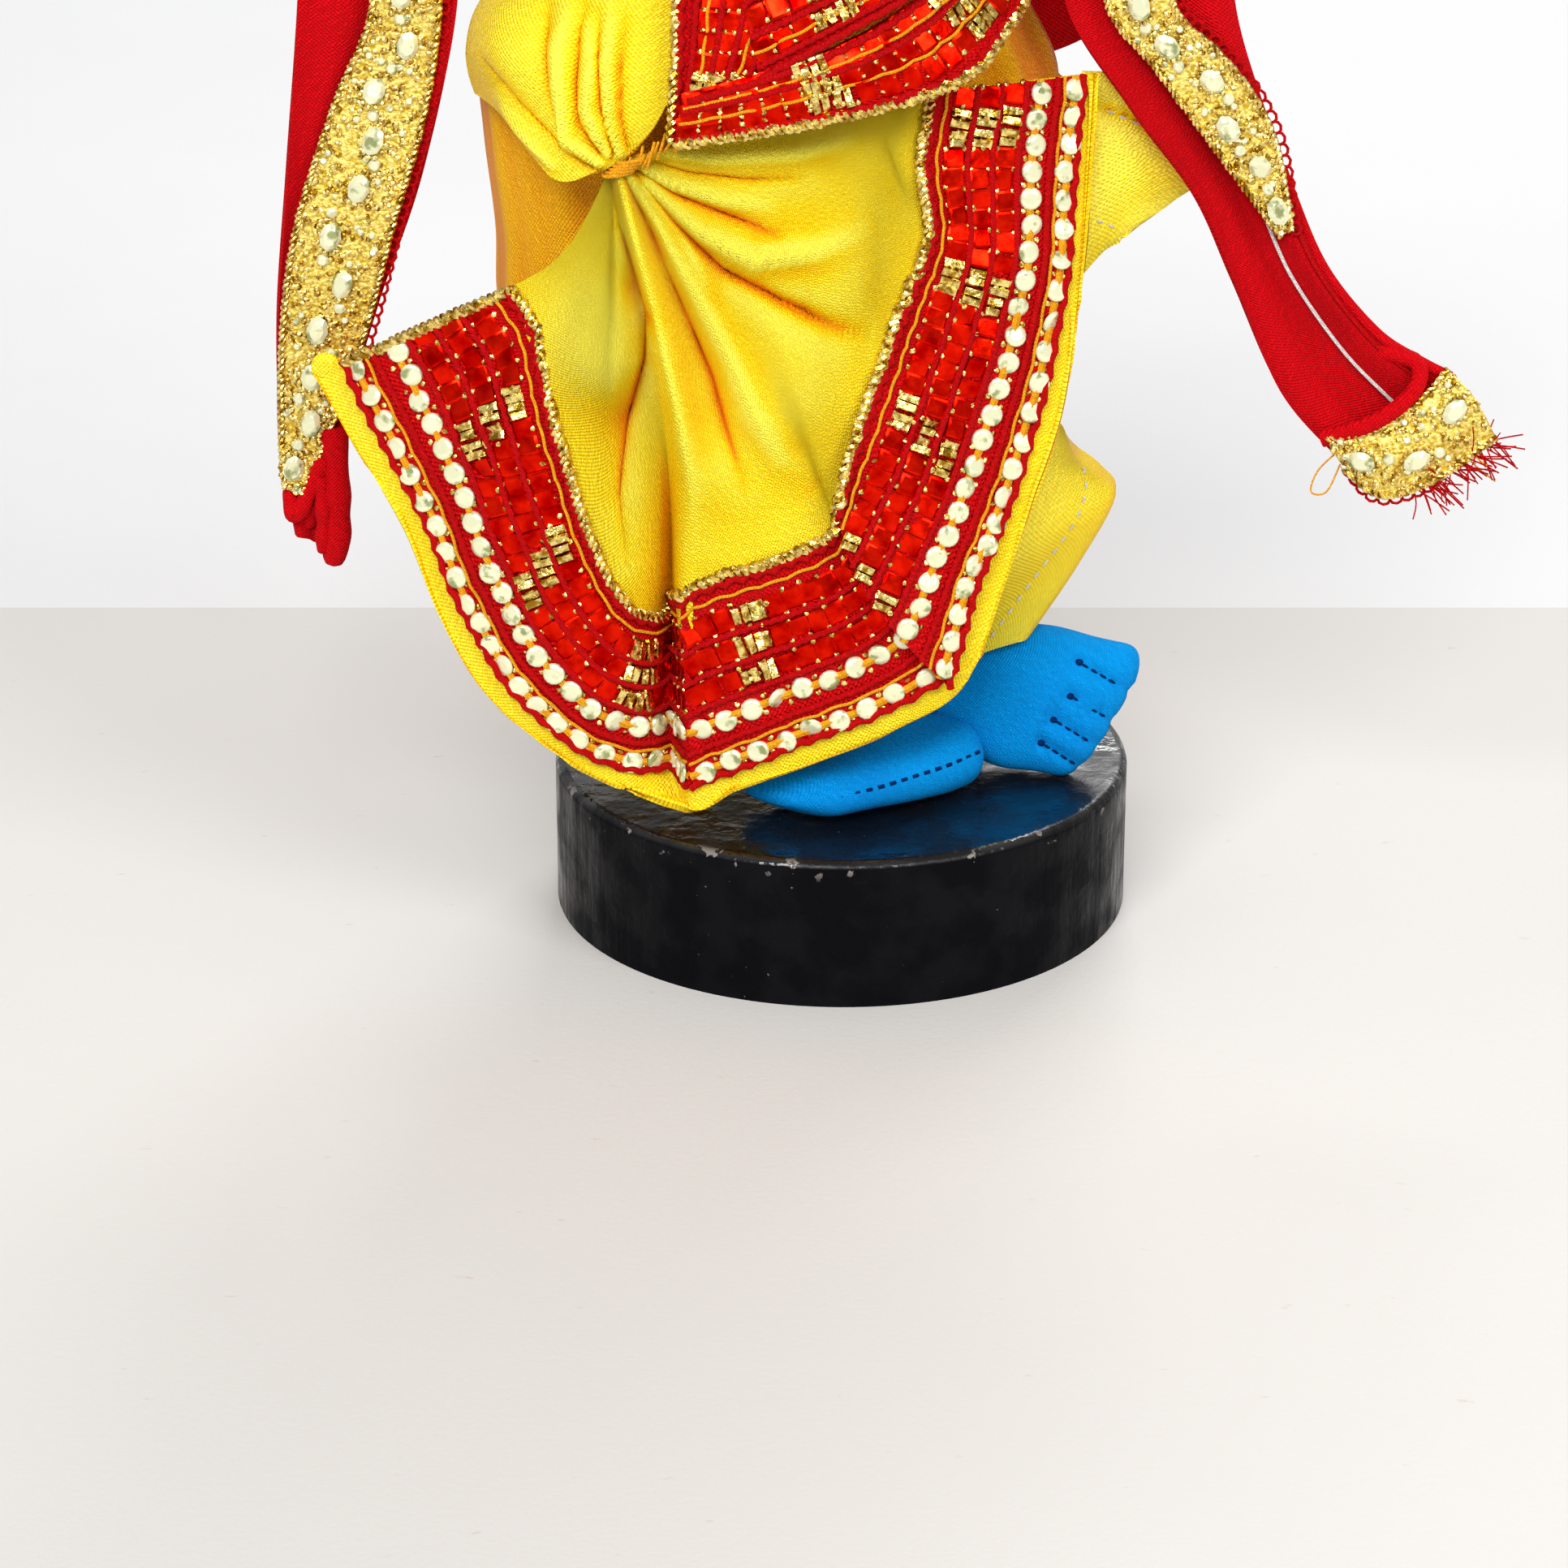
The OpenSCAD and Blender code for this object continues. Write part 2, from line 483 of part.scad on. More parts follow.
// A hanging tail between its two edges
module tail(left, right, t) cloth(between(smooth(left, 12), smooth(right, 12), 3), t);

right_tail_outer = [[-78, -10, 176], [-84, -10, 150], [-85.5, -10, 125], [-87.5, -10, 99], [-89, -10, 74],
    [-89, -10, 56], [-86, -10, 42]];
right_tail_inner = [[-63, -10, 176], [-60, -10, 150], [-60, -10, 125], [-67, -10, 99], [-75, -10, 79],
    [-79, -10, 60], [-80, -10, 35]];
left_tail_inner = [[44, -12, 167], [42, -12, 148], [42, -12, 124], [51, -12, 98],
    [60, -12, 75], [74, -12, 56],
    [87, -12, 47]];
left_tail_outer = [[54, -12, 167], [58, -12, 148], [60, -12, 124], [66, -12, 98],
    [78, -12, 79], [92, -12, 72],
    [105, -12, 58]];
module right_stole_tail() color("#d01010") on_disc() tail(right_tail_inner, right_tail_outer, stole_t);
module left_stole_tail() color("#d01010") on_disc() tail(left_tail_outer, left_tail_inner, stole_t);

// Gold lace in front of a tail
module lace(left, right) color("#c9a227") on_disc() tail(right, left, 1.2);
module right_stole_lace() lace(
    [[-74, -12, 172], [-73, -12, 150], [-72.5, -12, 125], [-80, -12, 99], [-87, -12, 74], [-88, -12, 49]],
    [[-64, -12, 172], [-62, -12, 150], [-61, -12, 125], [-68.5, -12, 99], [-77, -12, 75], [-81, -12, 54]]);
module left_stole_lace() {
    lace([[46, -14, 164], [44, -14, 146], [44, -14, 124], [53, -14, 98], [59, -14, 86]],
        [[53, -14, 164], [54, -14, 146], [54, -14, 124], [63, -14, 98], [69, -14, 82]]);
    lace([[78, -14, 65], [84, -14, 51]], [[90, -14, 72], [102, -14, 60]]);
}

base_disc();
right_leg_wire();
left_leg_wire();
right_foot();
left_foot();
right_leg();
left_leg();
pelvis();
torso();
spine_wire();
arm_wire();
neck();
dhoti_seat();
dhoti_apron();
dhoti_back_drape();
dhoti_side_flap();
dhoti_gather();
gather_tie();
apron_tape_right();
apron_tape_front();
apron_tape_left();
waist_sash();
sash_tail();
sash_fold();
necklace();
pendant();
right_anklet();
left_anklet();
stole_back();
right_stole_wrap();
left_stole_wrap();
head();
hair();
turban();
turban_band();
turban_jewel();
turban_fan();
right_earring();
left_earring();
right_upper_arm();
right_armlet();
right_elbow_pin();
right_forearm();
right_forearm_wire();
right_hand();
right_bangles();
left_upper_arm();
left_armlet();
left_elbow_pin();
left_forearm();
left_forearm_wire();
left_hand();
left_bangles();
flute();
flute_bindings();
flute_tassel();
right_stole_tail();
right_stole_lace();
left_stole_tail();
left_stole_lace();
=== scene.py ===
"""A stuffed cloth doll, dressed as a flute player, standing on a turned wooden base."""

import math

import bpy
import numpy as np
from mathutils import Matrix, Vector


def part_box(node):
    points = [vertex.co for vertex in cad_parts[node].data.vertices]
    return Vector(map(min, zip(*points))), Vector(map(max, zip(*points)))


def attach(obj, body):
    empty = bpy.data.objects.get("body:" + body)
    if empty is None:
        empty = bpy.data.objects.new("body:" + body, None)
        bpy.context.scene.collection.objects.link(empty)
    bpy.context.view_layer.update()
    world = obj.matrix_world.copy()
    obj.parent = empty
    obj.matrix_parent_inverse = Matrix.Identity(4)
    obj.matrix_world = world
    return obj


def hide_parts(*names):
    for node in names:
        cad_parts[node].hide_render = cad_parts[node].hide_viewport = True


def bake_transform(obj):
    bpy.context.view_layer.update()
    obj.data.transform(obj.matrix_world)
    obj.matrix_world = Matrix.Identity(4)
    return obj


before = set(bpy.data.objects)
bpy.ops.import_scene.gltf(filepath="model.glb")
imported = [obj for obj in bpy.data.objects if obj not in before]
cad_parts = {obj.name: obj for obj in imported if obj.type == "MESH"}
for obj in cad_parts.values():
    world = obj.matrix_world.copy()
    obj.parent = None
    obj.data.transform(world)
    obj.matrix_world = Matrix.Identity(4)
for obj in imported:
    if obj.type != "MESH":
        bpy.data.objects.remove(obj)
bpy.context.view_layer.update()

# Lengths in this script are millimetres, and heights are measured from the top of the base.
MM = 0.001
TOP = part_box("base_disc")[1][2]
RNG = np.random.default_rng(11)


# ---- Camera, light and stage ----

def camera(target, distance, elevation, lens):
    data = bpy.data.cameras.new("camera")
    data.lens = lens
    data.sensor_width = 36
    data.clip_start = 0.01
    obj = bpy.data.objects.new("camera", data)
    bpy.context.scene.collection.objects.link(obj)
    tilt = math.radians(elevation)
    aim = Vector(target) * MM
    obj.location = aim + Vector((0, -math.cos(tilt), math.sin(tilt))) * distance * MM
    obj.rotation_euler = (math.pi / 2 - tilt, 0, 0)
    bpy.context.scene.camera = obj


def area_light(name, place, size, power):
    """A soft light that shines on the figure. Its place and size are in metres."""
    data = bpy.data.lights.new(name, "AREA")
    data.shape = "RECTANGLE"
    data.size, data.size_y = size
    data.energy = power
    obj = bpy.data.objects.new(name, data)
    bpy.context.scene.collection.objects.link(obj)
    obj.location = place
    obj.rotation_euler = (Vector((0, 0, 0.1)) - Vector(place)).to_track_quat("-Z", "Y").to_euler()


camera(target=(-9.5, 0, 18.5), distance=800, elevation=23, lens=110)
bpy.context.scene.view_settings.view_transform = "Standard"
area_light("key", (-0.6, -2.2, 1.9), (1.5, 1.1), 72)
area_light("fill", (1.4, -1.7, 1.5), (1.2, 1.0), 30)
area_light("back", (0.5, 2.0, 1.6), (1.2, 1.0), 26)
world = bpy.data.worlds.new("studio")
bpy.context.scene.world = world
world.use_nodes = True
world.node_tree.nodes["Background"].inputs["Color"].default_value = (1, 1, 1, 1)
world.node_tree.nodes["Background"].inputs["Strength"].default_value = 0.5


# ---- Materials ----

class Material:
    """A Principled material and the nodes that feed it."""

    def __init__(self, name, **values):
        self.data = bpy.data.materials.new(name)
        self.data.use_nodes = True
        self.tree = self.data.node_tree
        self.shader = self.tree.nodes["Principled BSDF"]
        self.set(**values)

    def put(self, socket, value):
        if isinstance(value, bpy.types.NodeSocket):
            self.tree.links.new(value, socket)
        elif isinstance(value, tuple) and socket.type == "RGBA" and len(value) == 3:
            socket.default_value = (*value, 1)
        else:
            socket.default_value = value

    def set(self, **values):
        for key, value in values.items():
            self.put(self.shader.inputs[key.replace("_", " ")], value)

    def node(self, kind, settings=None, **values):
        """Adds a node and gives its outputs. i0, i1 and so on are inputs by number."""
        node = self.tree.nodes.new("ShaderNode" + kind)
        for key, value in (settings or {}).items():
            setattr(node, key, value)
        for key, value in values.items():
            numbered = key[0] == "i" and key[1:].isdigit()
            self.put(node.inputs[int(key[1:]) if numbered else key.replace("_", " ")], value)
        return node.outputs

    def coords(self, kind="Object", scale=1000):
        place = self.node("TexCoord")[kind]
        return self.node("VectorMath", {"operation": "SCALE"}, i0=place, Scale=scale)[0]

    def maths(self, operation, a, b=0.0):
        return self.node("Math", {"operation": operation}, i0=a, i1=b)[0]

    def plus(self, a, b):
        return self.maths("ADD", a, b)

    def times(self, a, b):
        return self.maths("MULTIPLY", a, b)

    def stretch(self, vector, x, y, z):
        return self.node("Mapping", Vector=vector, Scale=(x, y, z))[0]

    def noise(self, vector, scale, detail=3.0):
        return self.node("TexNoise", Vector=vector, Scale=scale, Detail=detail)["Fac"]

    def ramp(self, value, *stops):
        """Colours or greys at places from 0 to 1."""
        outputs = self.node("ValToRGB", Fac=value)
        elements = outputs["Color"].node.color_ramp.elements
        while len(elements) < len(stops):
            elements.new(0.5)
        for element, (place, colour) in zip(elements, stops):
            element.position = place
            element.color = (*colour, 1) if isinstance(colour, tuple) else (colour, colour, colour, 1)
        return outputs["Color"]

    def blend(self, factor, a, b):
        outputs = self.node("Mix", {"data_type": "RGBA"})
        inputs = outputs[2].node.inputs
        self.put(inputs[0], factor)
        self.put(inputs[6], a)
        self.put(inputs[7], b)
        return outputs[2]

    def bump(self, height, depth, strength=1.0):
        """Surface relief of the given depth in millimetres."""
        self.set(Normal=self.node("Bump", Height=height, Strength=strength, Distance=depth * MM)["Normal"])


# Direction towards the key light, used to paint shade on cloth that turns away from it.
LIGHT_SIDE = (-0.32, -0.82, 0.47)


def woven(name, light, dark, pitch=0.55, depth=0.14, rough=0.62, sheen=0.0, tone=False, kind="UV",
          patchy=0.35, spec=0.3, shot=None):
    """Cloth: threads both ways, slow changes of colour, and painted shade in its folds.

    With a painted highlight colour, the cloth is painted pale where it faces the key light and painted
    warmer shade where it turns away from it."""
    m = Material(name, Roughness=rough, Sheen_Weight=sheen, Sheen_Roughness=0.4, Specular_IOR_Level=spec)
    place = m.coords(kind, 1 if kind == "UV" else 1000)
    x, y, z = m.node("SeparateXYZ", Vector=place)[:3]
    if kind != "UV":
        x = m.plus(x, m.times(y, 0.7))
        y = z
    wobble = m.times(m.noise(place, 0.9, 2.0), 0.9)
    waves = [m.maths("SINE", m.times(m.plus(c, wobble), 2 * math.pi / pitch)) for c in (x, y)]
    weave = m.times(waves[0], waves[1])
    slub = m.noise(m.stretch(place, 0.25, 2.6, 1.0), 1.4, 3.0)
    shade = m.times(m.noise(place, 0.05, 3.0), patchy)
    shade = m.plus(shade, m.times(weave, 0.20))
    shade = m.plus(shade, m.times(slub, 0.16))
    # Painted shade and light from a mesh attribute: darker in folds and hollows, paler on raised cloth.
    if tone:
        shade = m.plus(shade, m.node("Attribute", {"attribute_name": "tone"})["Fac"])
    # Painted shade where the cloth turns from the key light, and the painted highlight colour where it faces
    # it.
    if shot:
        normal = m.node("NewGeometry")["Normal"]
        lit = m.node("VectorMath", {"operation": "DOT_PRODUCT"}, i0=normal, i1=LIGHT_SIDE)["Value"]
        shade = m.plus(shade, m.ramp(lit, (0.0, 0.42), (0.45, 0.15), (0.80, 0.0)))
        m.set(Base_Color=m.ramp(shade, (0.08, shot), (0.30, light), (0.85, dark)))
    else:
        m.set(Base_Color=m.ramp(shade, (0.12, light), (0.85, dark)))
    m.bump(m.plus(weave, m.times(slub, 1.5)), depth)
    return m.data


def metal(name, light, dark, rough=0.28, scale=0.8, depth=0.12, metallic=1.0, spread=0.14, middle=0.485):
    """Foil, gilt and lurex: a metal with a crumpled surface, and painted reflections: light and dark patches
    of colour.
    """
    m = Material(name, Metallic=metallic)
    place = m.coords()
    noise_pattern = m.noise(place, scale, 4.0)
    # Painted reflections: the colour goes from light to dark in patches across the crumples.
    m.set(Base_Color=m.ramp(noise_pattern, (middle - spread, dark), (middle + spread, light)))
    m.set(Roughness=m.ramp(m.noise(place, scale * 2.1, 2.0), (0.3, rough * 0.7), (0.7, rough * 1.4)))
    m.bump(noise_pattern, depth)
    return m.data


def lacquer():
    """Black gloss paint, with runs and dents, chipped along its upper rim."""
    m = Material("black_lacquer")
    place = m.coords()
    x, y, z = m.node("SeparateXYZ", Vector=place)[:3]
    radius = m.maths("SQRT", m.plus(m.times(x, x), m.times(y, y)))
    near_rim = m.times(m.ramp(m.maths("DIVIDE", radius, 50.0), (0.915, 0.0), (0.945, 1.0)),
                       m.ramp(m.maths("DIVIDE", z, 30.0), (0.72, 0.0), (0.80, 1.0)))
    chips = m.times(near_rim, m.ramp(m.noise(place, 0.42, 6.0), (0.635, 0.0), (0.655, 1.0)))
    specks = m.ramp(m.noise(place, 1.1, 2.0), (0.77, 0.0), (0.79, 1.0))
    worn = m.maths("MAXIMUM", chips, m.times(specks, 0.6))
    m.set(Base_Color=m.blend(worn, (0.003, 0.003, 0.004), (0.20, 0.18, 0.165)))
    haze = m.noise(place, 0.11, 4.0)
    up = m.node("SeparateXYZ", Vector=m.node("NewGeometry")["Normal"])["Z"]
    m.set(Specular_IOR_Level=m.times(m.ramp(up, (0.3, 0.07), (0.9, 1.0)),
                                     m.ramp(haze, (0.42, 0.35), (0.58, 1.0))))
    m.set(Roughness=m.ramp(haze, (0.40, 0.34), (0.62, 0.12)))
    runs = m.noise(m.stretch(place, 1.0, 1.0, 0.16), 0.22, 3.0)
    relief = m.plus(m.times(runs, 1.6), m.times(m.noise(place, 0.7, 3.0), 0.35))
    relief = m.maths("SUBTRACT", relief, m.times(chips, 0.5))
    m.bump(relief, 0.5, 0.55)
    return m.data


def plain_floor(name, colour, flecks):
    m = Material(name, Roughness=0.55, Specular_IOR_Level=0.25)
    place = m.coords()
    spots = m.ramp(m.noise(m.stretch(place, 0.5, 1.0, 1.0), 0.35, 5.0), (0.70, 0.0), (0.76, flecks))
    cloud = m.noise(place, 0.012, 3.0)
    base = m.blend(m.times(cloud, 0.5), colour, tuple(0.9 * c for c in colour))
    m.set(Base_Color=m.blend(spots, base, (0.55, 0.48, 0.42)))
    m.bump(m.noise(place, 0.9, 4.0), 0.05)
    return m.data


YELLOW = woven("yellow_satin", (1.0, 0.73, 0.002), (1.0, 0.30, 0.0), pitch=0.7, rough=0.42, tone=True,
               spec=0.16, patchy=0.22, shot=(1.0, 0.86, 0.07))
AMBER = woven("amber_satin", (1.0, 0.58, 0.004), (0.90, 0.22, 0.0), pitch=0.7, rough=0.5, tone=True,
              spec=0.15, patchy=0.25, shot=(1.0, 0.70, 0.01))
BLUE = woven("blue_cotton", (0.0, 0.32, 0.80), (0.0, 0.16, 0.52), pitch=0.42, depth=0.08, rough=0.85,
             kind="Object", patchy=0.7, spec=0.08)
RED = woven("red_cotton", (0.68, 0.0, 0.004), (0.28, 0.0, 0.002), pitch=0.6, rough=0.85, tone=True,
            spec=0.10)
TAPE = woven("tape_ground", (0.62, 0.0, 0.002), (0.22, 0.0, 0.0), pitch=0.9, depth=0.2, rough=0.6,
             tone=True, spec=0.12)
CORD = woven("red_cord", (0.62, 0.0, 0.002), (0.27, 0.0, 0.0), pitch=0.45, depth=0.15, rough=0.7,
             kind="Object", spec=0.12)
ORANGE = woven("orange_thread", (1.0, 0.46, 0.01), (0.85, 0.20, 0.0), pitch=0.4, rough=0.6, kind="Object",
               spec=0.2)
WHITE = woven("white_thread", (0.85, 0.84, 0.80), (0.6, 0.58, 0.55), pitch=0.4, rough=0.7, sheen=0.25,
              kind="Object")
NAVY = woven("navy_thread", (0.0, 0.03, 0.16), (0.0, 0.01, 0.07), pitch=0.4, rough=0.8, kind="Object",
             spec=0.1)
FOIL = metal("red_foil", (0.88, 0.012, 0.002), (0.46, 0.0, 0.0), rough=0.22, scale=0.3, depth=0.1)
GOLD = metal("gold_lurex", (1.0, 0.80, 0.26), (0.36, 0.18, 0.01), rough=0.18, scale=0.9, depth=0.3,
             spread=0.10)
# The mirrors' dark green patches are painted reflections.
MIRROR = metal("mirror_foil", (0.80, 0.80, 0.52), (0.30, 0.33, 0.13), rough=0.14, scale=0.42, depth=0.08,
               metallic=0.4, spread=0.05, middle=0.40)


def glossy(name, colour, rough=0.2, coat=0.5, vary=0.25, **values):
    """Smooth beads and painted parts, with a slight unevenness."""
    m = Material(name, Coat_Weight=coat, Coat_Roughness=0.1, **values)
    place = m.coords()
    cloud = m.noise(place, 0.6, 3.0)
    m.set(Base_Color=m.ramp(cloud, (0.3, colour), (0.75, tuple(c * (1 - vary) for c in colour))))
    m.set(Roughness=m.ramp(cloud, (0.3, rough), (0.7, rough * 1.5)))
    m.bump(m.noise(place, 1.6, 2.0), 0.03)
    return m.data


def bamboo():
    m = Material("bamboo", Coat_Weight=0.3, Coat_Roughness=0.25)
    place = m.coords()
    noise_pattern = m.noise(m.stretch(place, 0.06, 1.6, 1.6), 1.0, 5.0)
    m.set(Base_Color=m.ramp(noise_pattern, (0.3, (0.62, 0.36, 0.12)), (0.55, (0.50, 0.26, 0.075)),
                            (0.72, (0.27, 0.11, 0.03))))
    m.set(Roughness=m.ramp(noise_pattern, (0.3, 0.36), (0.7, 0.55)))
    m.bump(noise_pattern, 0.08)
    return m.data


def tie_dyed():
    """Red cloth with small tied dots in rings."""
    m = Material("tie_dyed_cotton", Roughness=0.8, Specular_IOR_Level=0.12)
    place = m.coords()
    cell = m.node("TexVoronoi", {"feature": "F1"}, Vector=place, Scale=0.23, Randomness=0.35)["Distance"]
    ring = m.ramp(cell, (0.10, 0.0), (0.16, 1.0), (0.24, 1.0), (0.30, 0.0))
    core = m.ramp(cell, (0.05, 1.0), (0.09, 0.0))
    weave = m.noise(place, 2.2, 3.0)
    shade = m.plus(m.times(weave, 0.5), m.noise(place, 0.09, 3.0))
    red = m.ramp(shade, (0.45, (0.58, 0.0, 0.006)), (0.95, (0.28, 0.0, 0.004)))
    dots = m.blend(ring, red, (0.95, 0.62, 0.06))
    m.set(Base_Color=m.blend(core, dots, (0.9, 0.85, 0.7)))
    m.bump(weave, 0.12)
    return m.data


BEAD = glossy("red_glass", (0.52, 0.004, 0.005))
RUBY = glossy("red_stone", (0.45, 0.0, 0.012), rough=0.08, coat=1.0)
PEARL = glossy("pearl", (0.86, 0.80, 0.68), rough=0.25, vary=0.12)
INK = glossy("black_thread", (0.012, 0.010, 0.012), rough=0.4, coat=0.2)
EYE_WHITE = glossy("white_felt", (0.86, 0.85, 0.82), rough=0.6, coat=0.0, vary=0.08)
LIP = glossy("lip_felt", (0.55, 0.03, 0.04), rough=0.6, coat=0.0)
GILT = metal("gilt", (1.0, 0.72, 0.25), (0.78, 0.48, 0.12), rough=0.26, scale=0.35, depth=0.06)
STEEL = metal("steel", (0.62, 0.62, 0.64), (0.42, 0.42, 0.44), rough=0.34, scale=0.5, depth=0.03)
BAMBOO = bamboo()
YARN = woven("black_yarn", (0.030, 0.025, 0.022), (0.008, 0.007, 0.007), pitch=0.7, depth=0.2, rough=0.75,
             sheen=0.4, kind="Object")
TURBAN = tie_dyed()
FAN = woven("fan_cloth", (1.0, 0.56, 0.02), (0.75, 0.24, 0.0), pitch=0.6, rough=0.5, sheen=0.1, tone=True)


# ---- Shapes ----

def arr(points):
    return np.array(points, dtype=float)


def unit(v):
    v = arr(v)
    return v / np.maximum(np.linalg.norm(v, axis=-1, keepdims=True), 1e-9)


def smooth(points, n):
    """n points along the smooth curve through the given ones. A table of curves is smoothed row to row."""
    pts = arr(points)
    last = len(pts) - 1
    s = np.linspace(0, last, n)
    k = np.minimum(s.astype(int), last - 1)
    t = (s - k).reshape(-1, *[1] * (pts.ndim - 1))
    a, b, c, d = (pts[np.clip(k + o, 0, last)] for o in (-1, 0, 1, 2))
    return 0.5 * (2 * b + (c - a) * t + (2 * a - 5 * b + 4 * c - d) * t**2 + (3 * b - a - 3 * c + d) * t**3)


def surface(table, rows, cols):
    """A fine grid through a table of points."""
    return smooth(smooth(table, rows).swapaxes(0, 1), cols).swapaxes(0, 1)


def run(path):
    """Distance along a path at each of its points."""
    return np.r_[0, np.cumsum(np.linalg.norm(np.diff(path, axis=0), axis=1))]


def even(points, step):
    """The smooth curve through points, with its points a step apart."""
    path = smooth(points, 12 * len(points))
    s = run(path)
    n = max(2, int(round(s[-1] / step)) + 1)
    return np.stack([np.interp(np.linspace(0, s[-1], n), s, path[:, i]) for i in range(path.shape[1])], 1)


def quads(rows, cols, ring=False):
    """Faces of a grid. With ring, the last column joins the first."""
    i, j = np.meshgrid(np.arange(rows - 1), np.arange(cols if ring else cols - 1), indexing="ij")
    k = (j + 1) % cols
    return np.stack([i * cols + j, i * cols + k, (i + 1) * cols + k, (i + 1) * cols + j], -1).reshape(-1, 4)

def capped(rows, sides):
    """Faces of a closed tube: its wall and its two ends."""
    ends = [list(range(sides))[::-1], list(range((rows - 1) * sides, rows * sides))]
    return quads(rows, sides, ring=True).tolist() + ends


def circle(centre, x, y, turn):
    """Points round a centre at the angles in turn, from the half axes x and y."""
    return arr(centre) + np.cos(turn)[:, None] * arr(x) + np.sin(turn)[:, None] * arr(y)


def sampled(ripple, rows, cols):
    """The values of ripple(u, v) on a grid, with u and v from 0 to 1."""
    v, u = np.meshgrid(np.linspace(0, 1, rows), np.linspace(0, 1, cols), indexing="ij")
    return ripple(u, v)


def facing(grid, way):
    """Unit normals of a grid, on the side that faces way."""
    n = unit(np.cross(np.gradient(grid, axis=1), np.gradient(grid, axis=0)))
    return n if (n * arr(way)).sum() > 0 else -n


def line_gap(x, z, line):
    """Distance of points x, z from a line of (x, z) points, and how far along it they are, from 0 to 1."""
    best = np.full(np.shape(x), 1e9)
    along = np.zeros(np.shape(x))
    line = arr(line)
    for k in range(len(line) - 1):
        a, d = line[k], line[k + 1] - line[k]
        t = np.clip(((x - a[0]) * d[0] + (z - a[1]) * d[1]) / (d @ d), 0, 1)
        gap = np.hypot(x - a[0] - t * d[0], z - a[1] - t * d[1])
        along = np.where(gap < best, (k + t) / (len(line) - 1), along)
        best = np.minimum(best, gap)
    return best, along


def folded(x, z, lines, swells=()):
    """How far cloth stands out at x, z. A fold is a line of (x, z) points that starts narrow, its height and
    half width. A swell is a round bulge: its place, height and half width."""
    out = np.zeros(np.shape(x))
    for line, height, half in lines:
        gap, along = line_gap(x, z, line)
        near = gap / (half * (0.45 + 0.8 * along))
        rise = 0.5 + 0.5 * np.sin(np.pi * (0.15 + 0.6 * along))
        fade = np.clip((1 - along) / 0.3, 0, 1)**0.7
        out += height * np.exp(-near**(1.5 if height > 0 else 1.0)) * rise * fade
    for (cx, cz), height, half in swells:
        out += height * np.exp(-((x - cx)**2 + (z - cz)**2) / half**2)
    return out


def hollows(height):
    """How far each point of a relief lies below its surroundings."""
    soft = height * 1.0
    for _ in range(12):
        p = np.pad(soft, 1, mode="edge")
        soft = (p[:-2, 1:-1] + p[2:, 1:-1] + p[1:-1, :-2] + p[1:-1, 2:] + 4 * soft) / 8
    return soft - height


def blob(centre, x, y, z, n=16):
    """A rounded lump with the given half axes."""
    lat = np.linspace(-math.pi / 2 + 0.08, math.pi / 2 - 0.08, n)[:, None]
    lon = np.linspace(0, 2 * math.pi, 2 * n, endpoint=False)
    shares = (np.cos(lat) * np.cos(lon), np.cos(lat) * np.sin(lon), np.sin(lat) * np.ones(2 * n))
    points = arr(centre)
    for share, axis in zip(shares, (x, y, z)):
        points = points + share[..., None] * arr(axis)
    return points.reshape(-1, 3), capped(n, 2 * n)


def tube(path, radius, sides=8, ref=(0.3, -1, 0.2)):
    """A round cord along a path, closed at its ends."""
    path = arr(path)
    t = unit(np.gradient(path, axis=0))
    ref = np.broadcast_to(arr(ref), path.shape)
    a = unit(ref - (ref * t).sum(1, keepdims=True) * t)
    b = np.cross(t, a)
    angle = np.linspace(0, 2 * math.pi, sides, endpoint=False)
    r = np.broadcast_to(arr(radius), len(path))[:, None, None]
    c, s = np.cos(angle)[None, :, None], np.sin(angle)[None, :, None]
    ring = path[:, None] + r * (c * a[:, None] + s * b[:, None])
    return ring.reshape(-1, 3), capped(len(path), sides)


def twisted(path, radius, pitch):
    """Two strands laid round each other along a path."""
    path = even(path, pitch / 6)
    t = unit(np.gradient(path, axis=0))
    a = unit(np.cross(t, arr((0.31, 0.52, 0.79))))
    b = np.cross(t, a)
    turn = run(path) / pitch * 2 * math.pi
    strands = []
    for start in (0, math.pi):
        angle = (turn + start)[:, None]
        offset = radius * 0.55 * (np.cos(angle) * a + np.sin(angle) * b)
        strands.append(tube(path + offset, radius * 0.6, 6))
    return strands


def stamp(shape, spots, along, across, normal, size=1.0):
    """Copies of a small shape, (verts, faces), at each spot of a surface."""
    verts, faces = arr(shape[0]), shape[1]
    size = np.broadcast_to(arr(size), len(spots))[:, None, None]
    x, y, z = (verts[None, :, k:k + 1] for k in range(3))
    out = spots[:, None] + size * (x * along[:, None] + y * across[:, None] + z * normal[:, None])
    all_faces = [[v + k * len(verts) for v in face] for k in range(len(spots)) for face in faces]
    return out.reshape(-1, 3), all_faces


def cap(profile, sides, turn=0.0):
    """A small turned shape. The profile is (radius, height) points from its rim to its top."""
    angle = np.linspace(0, 2 * math.pi, sides, endpoint=False) + turn
    verts = [(r * math.cos(t), r * math.sin(t), h) for r, h in profile for t in angle]
    faces = quads(len(profile), sides, ring=True)[:, ::-1].tolist()
    top = list(range((len(profile) - 1) * sides, len(profile) * sides))
    return verts, faces + [top, list(range(sides))[::-1]]


DISC = cap([(0.98, 0), (1.0, 0.14), (0.86, 0.30), (0.5, 0.34)], 14)
CELL = cap([(0.70, 0), (0.70, 0.08), (0.54, 0.17)], 4, math.pi / 4)
NUGGET = cap([(0.62, 0), (0.66, 0.25), (0.34, 0.48)], 6)
BALL = cap([(0.3, -0.95), (0.72, -0.7), (0.97, -0.25), (0.97, 0.25), (0.72, 0.7), (0.3, 0.95)], 10)


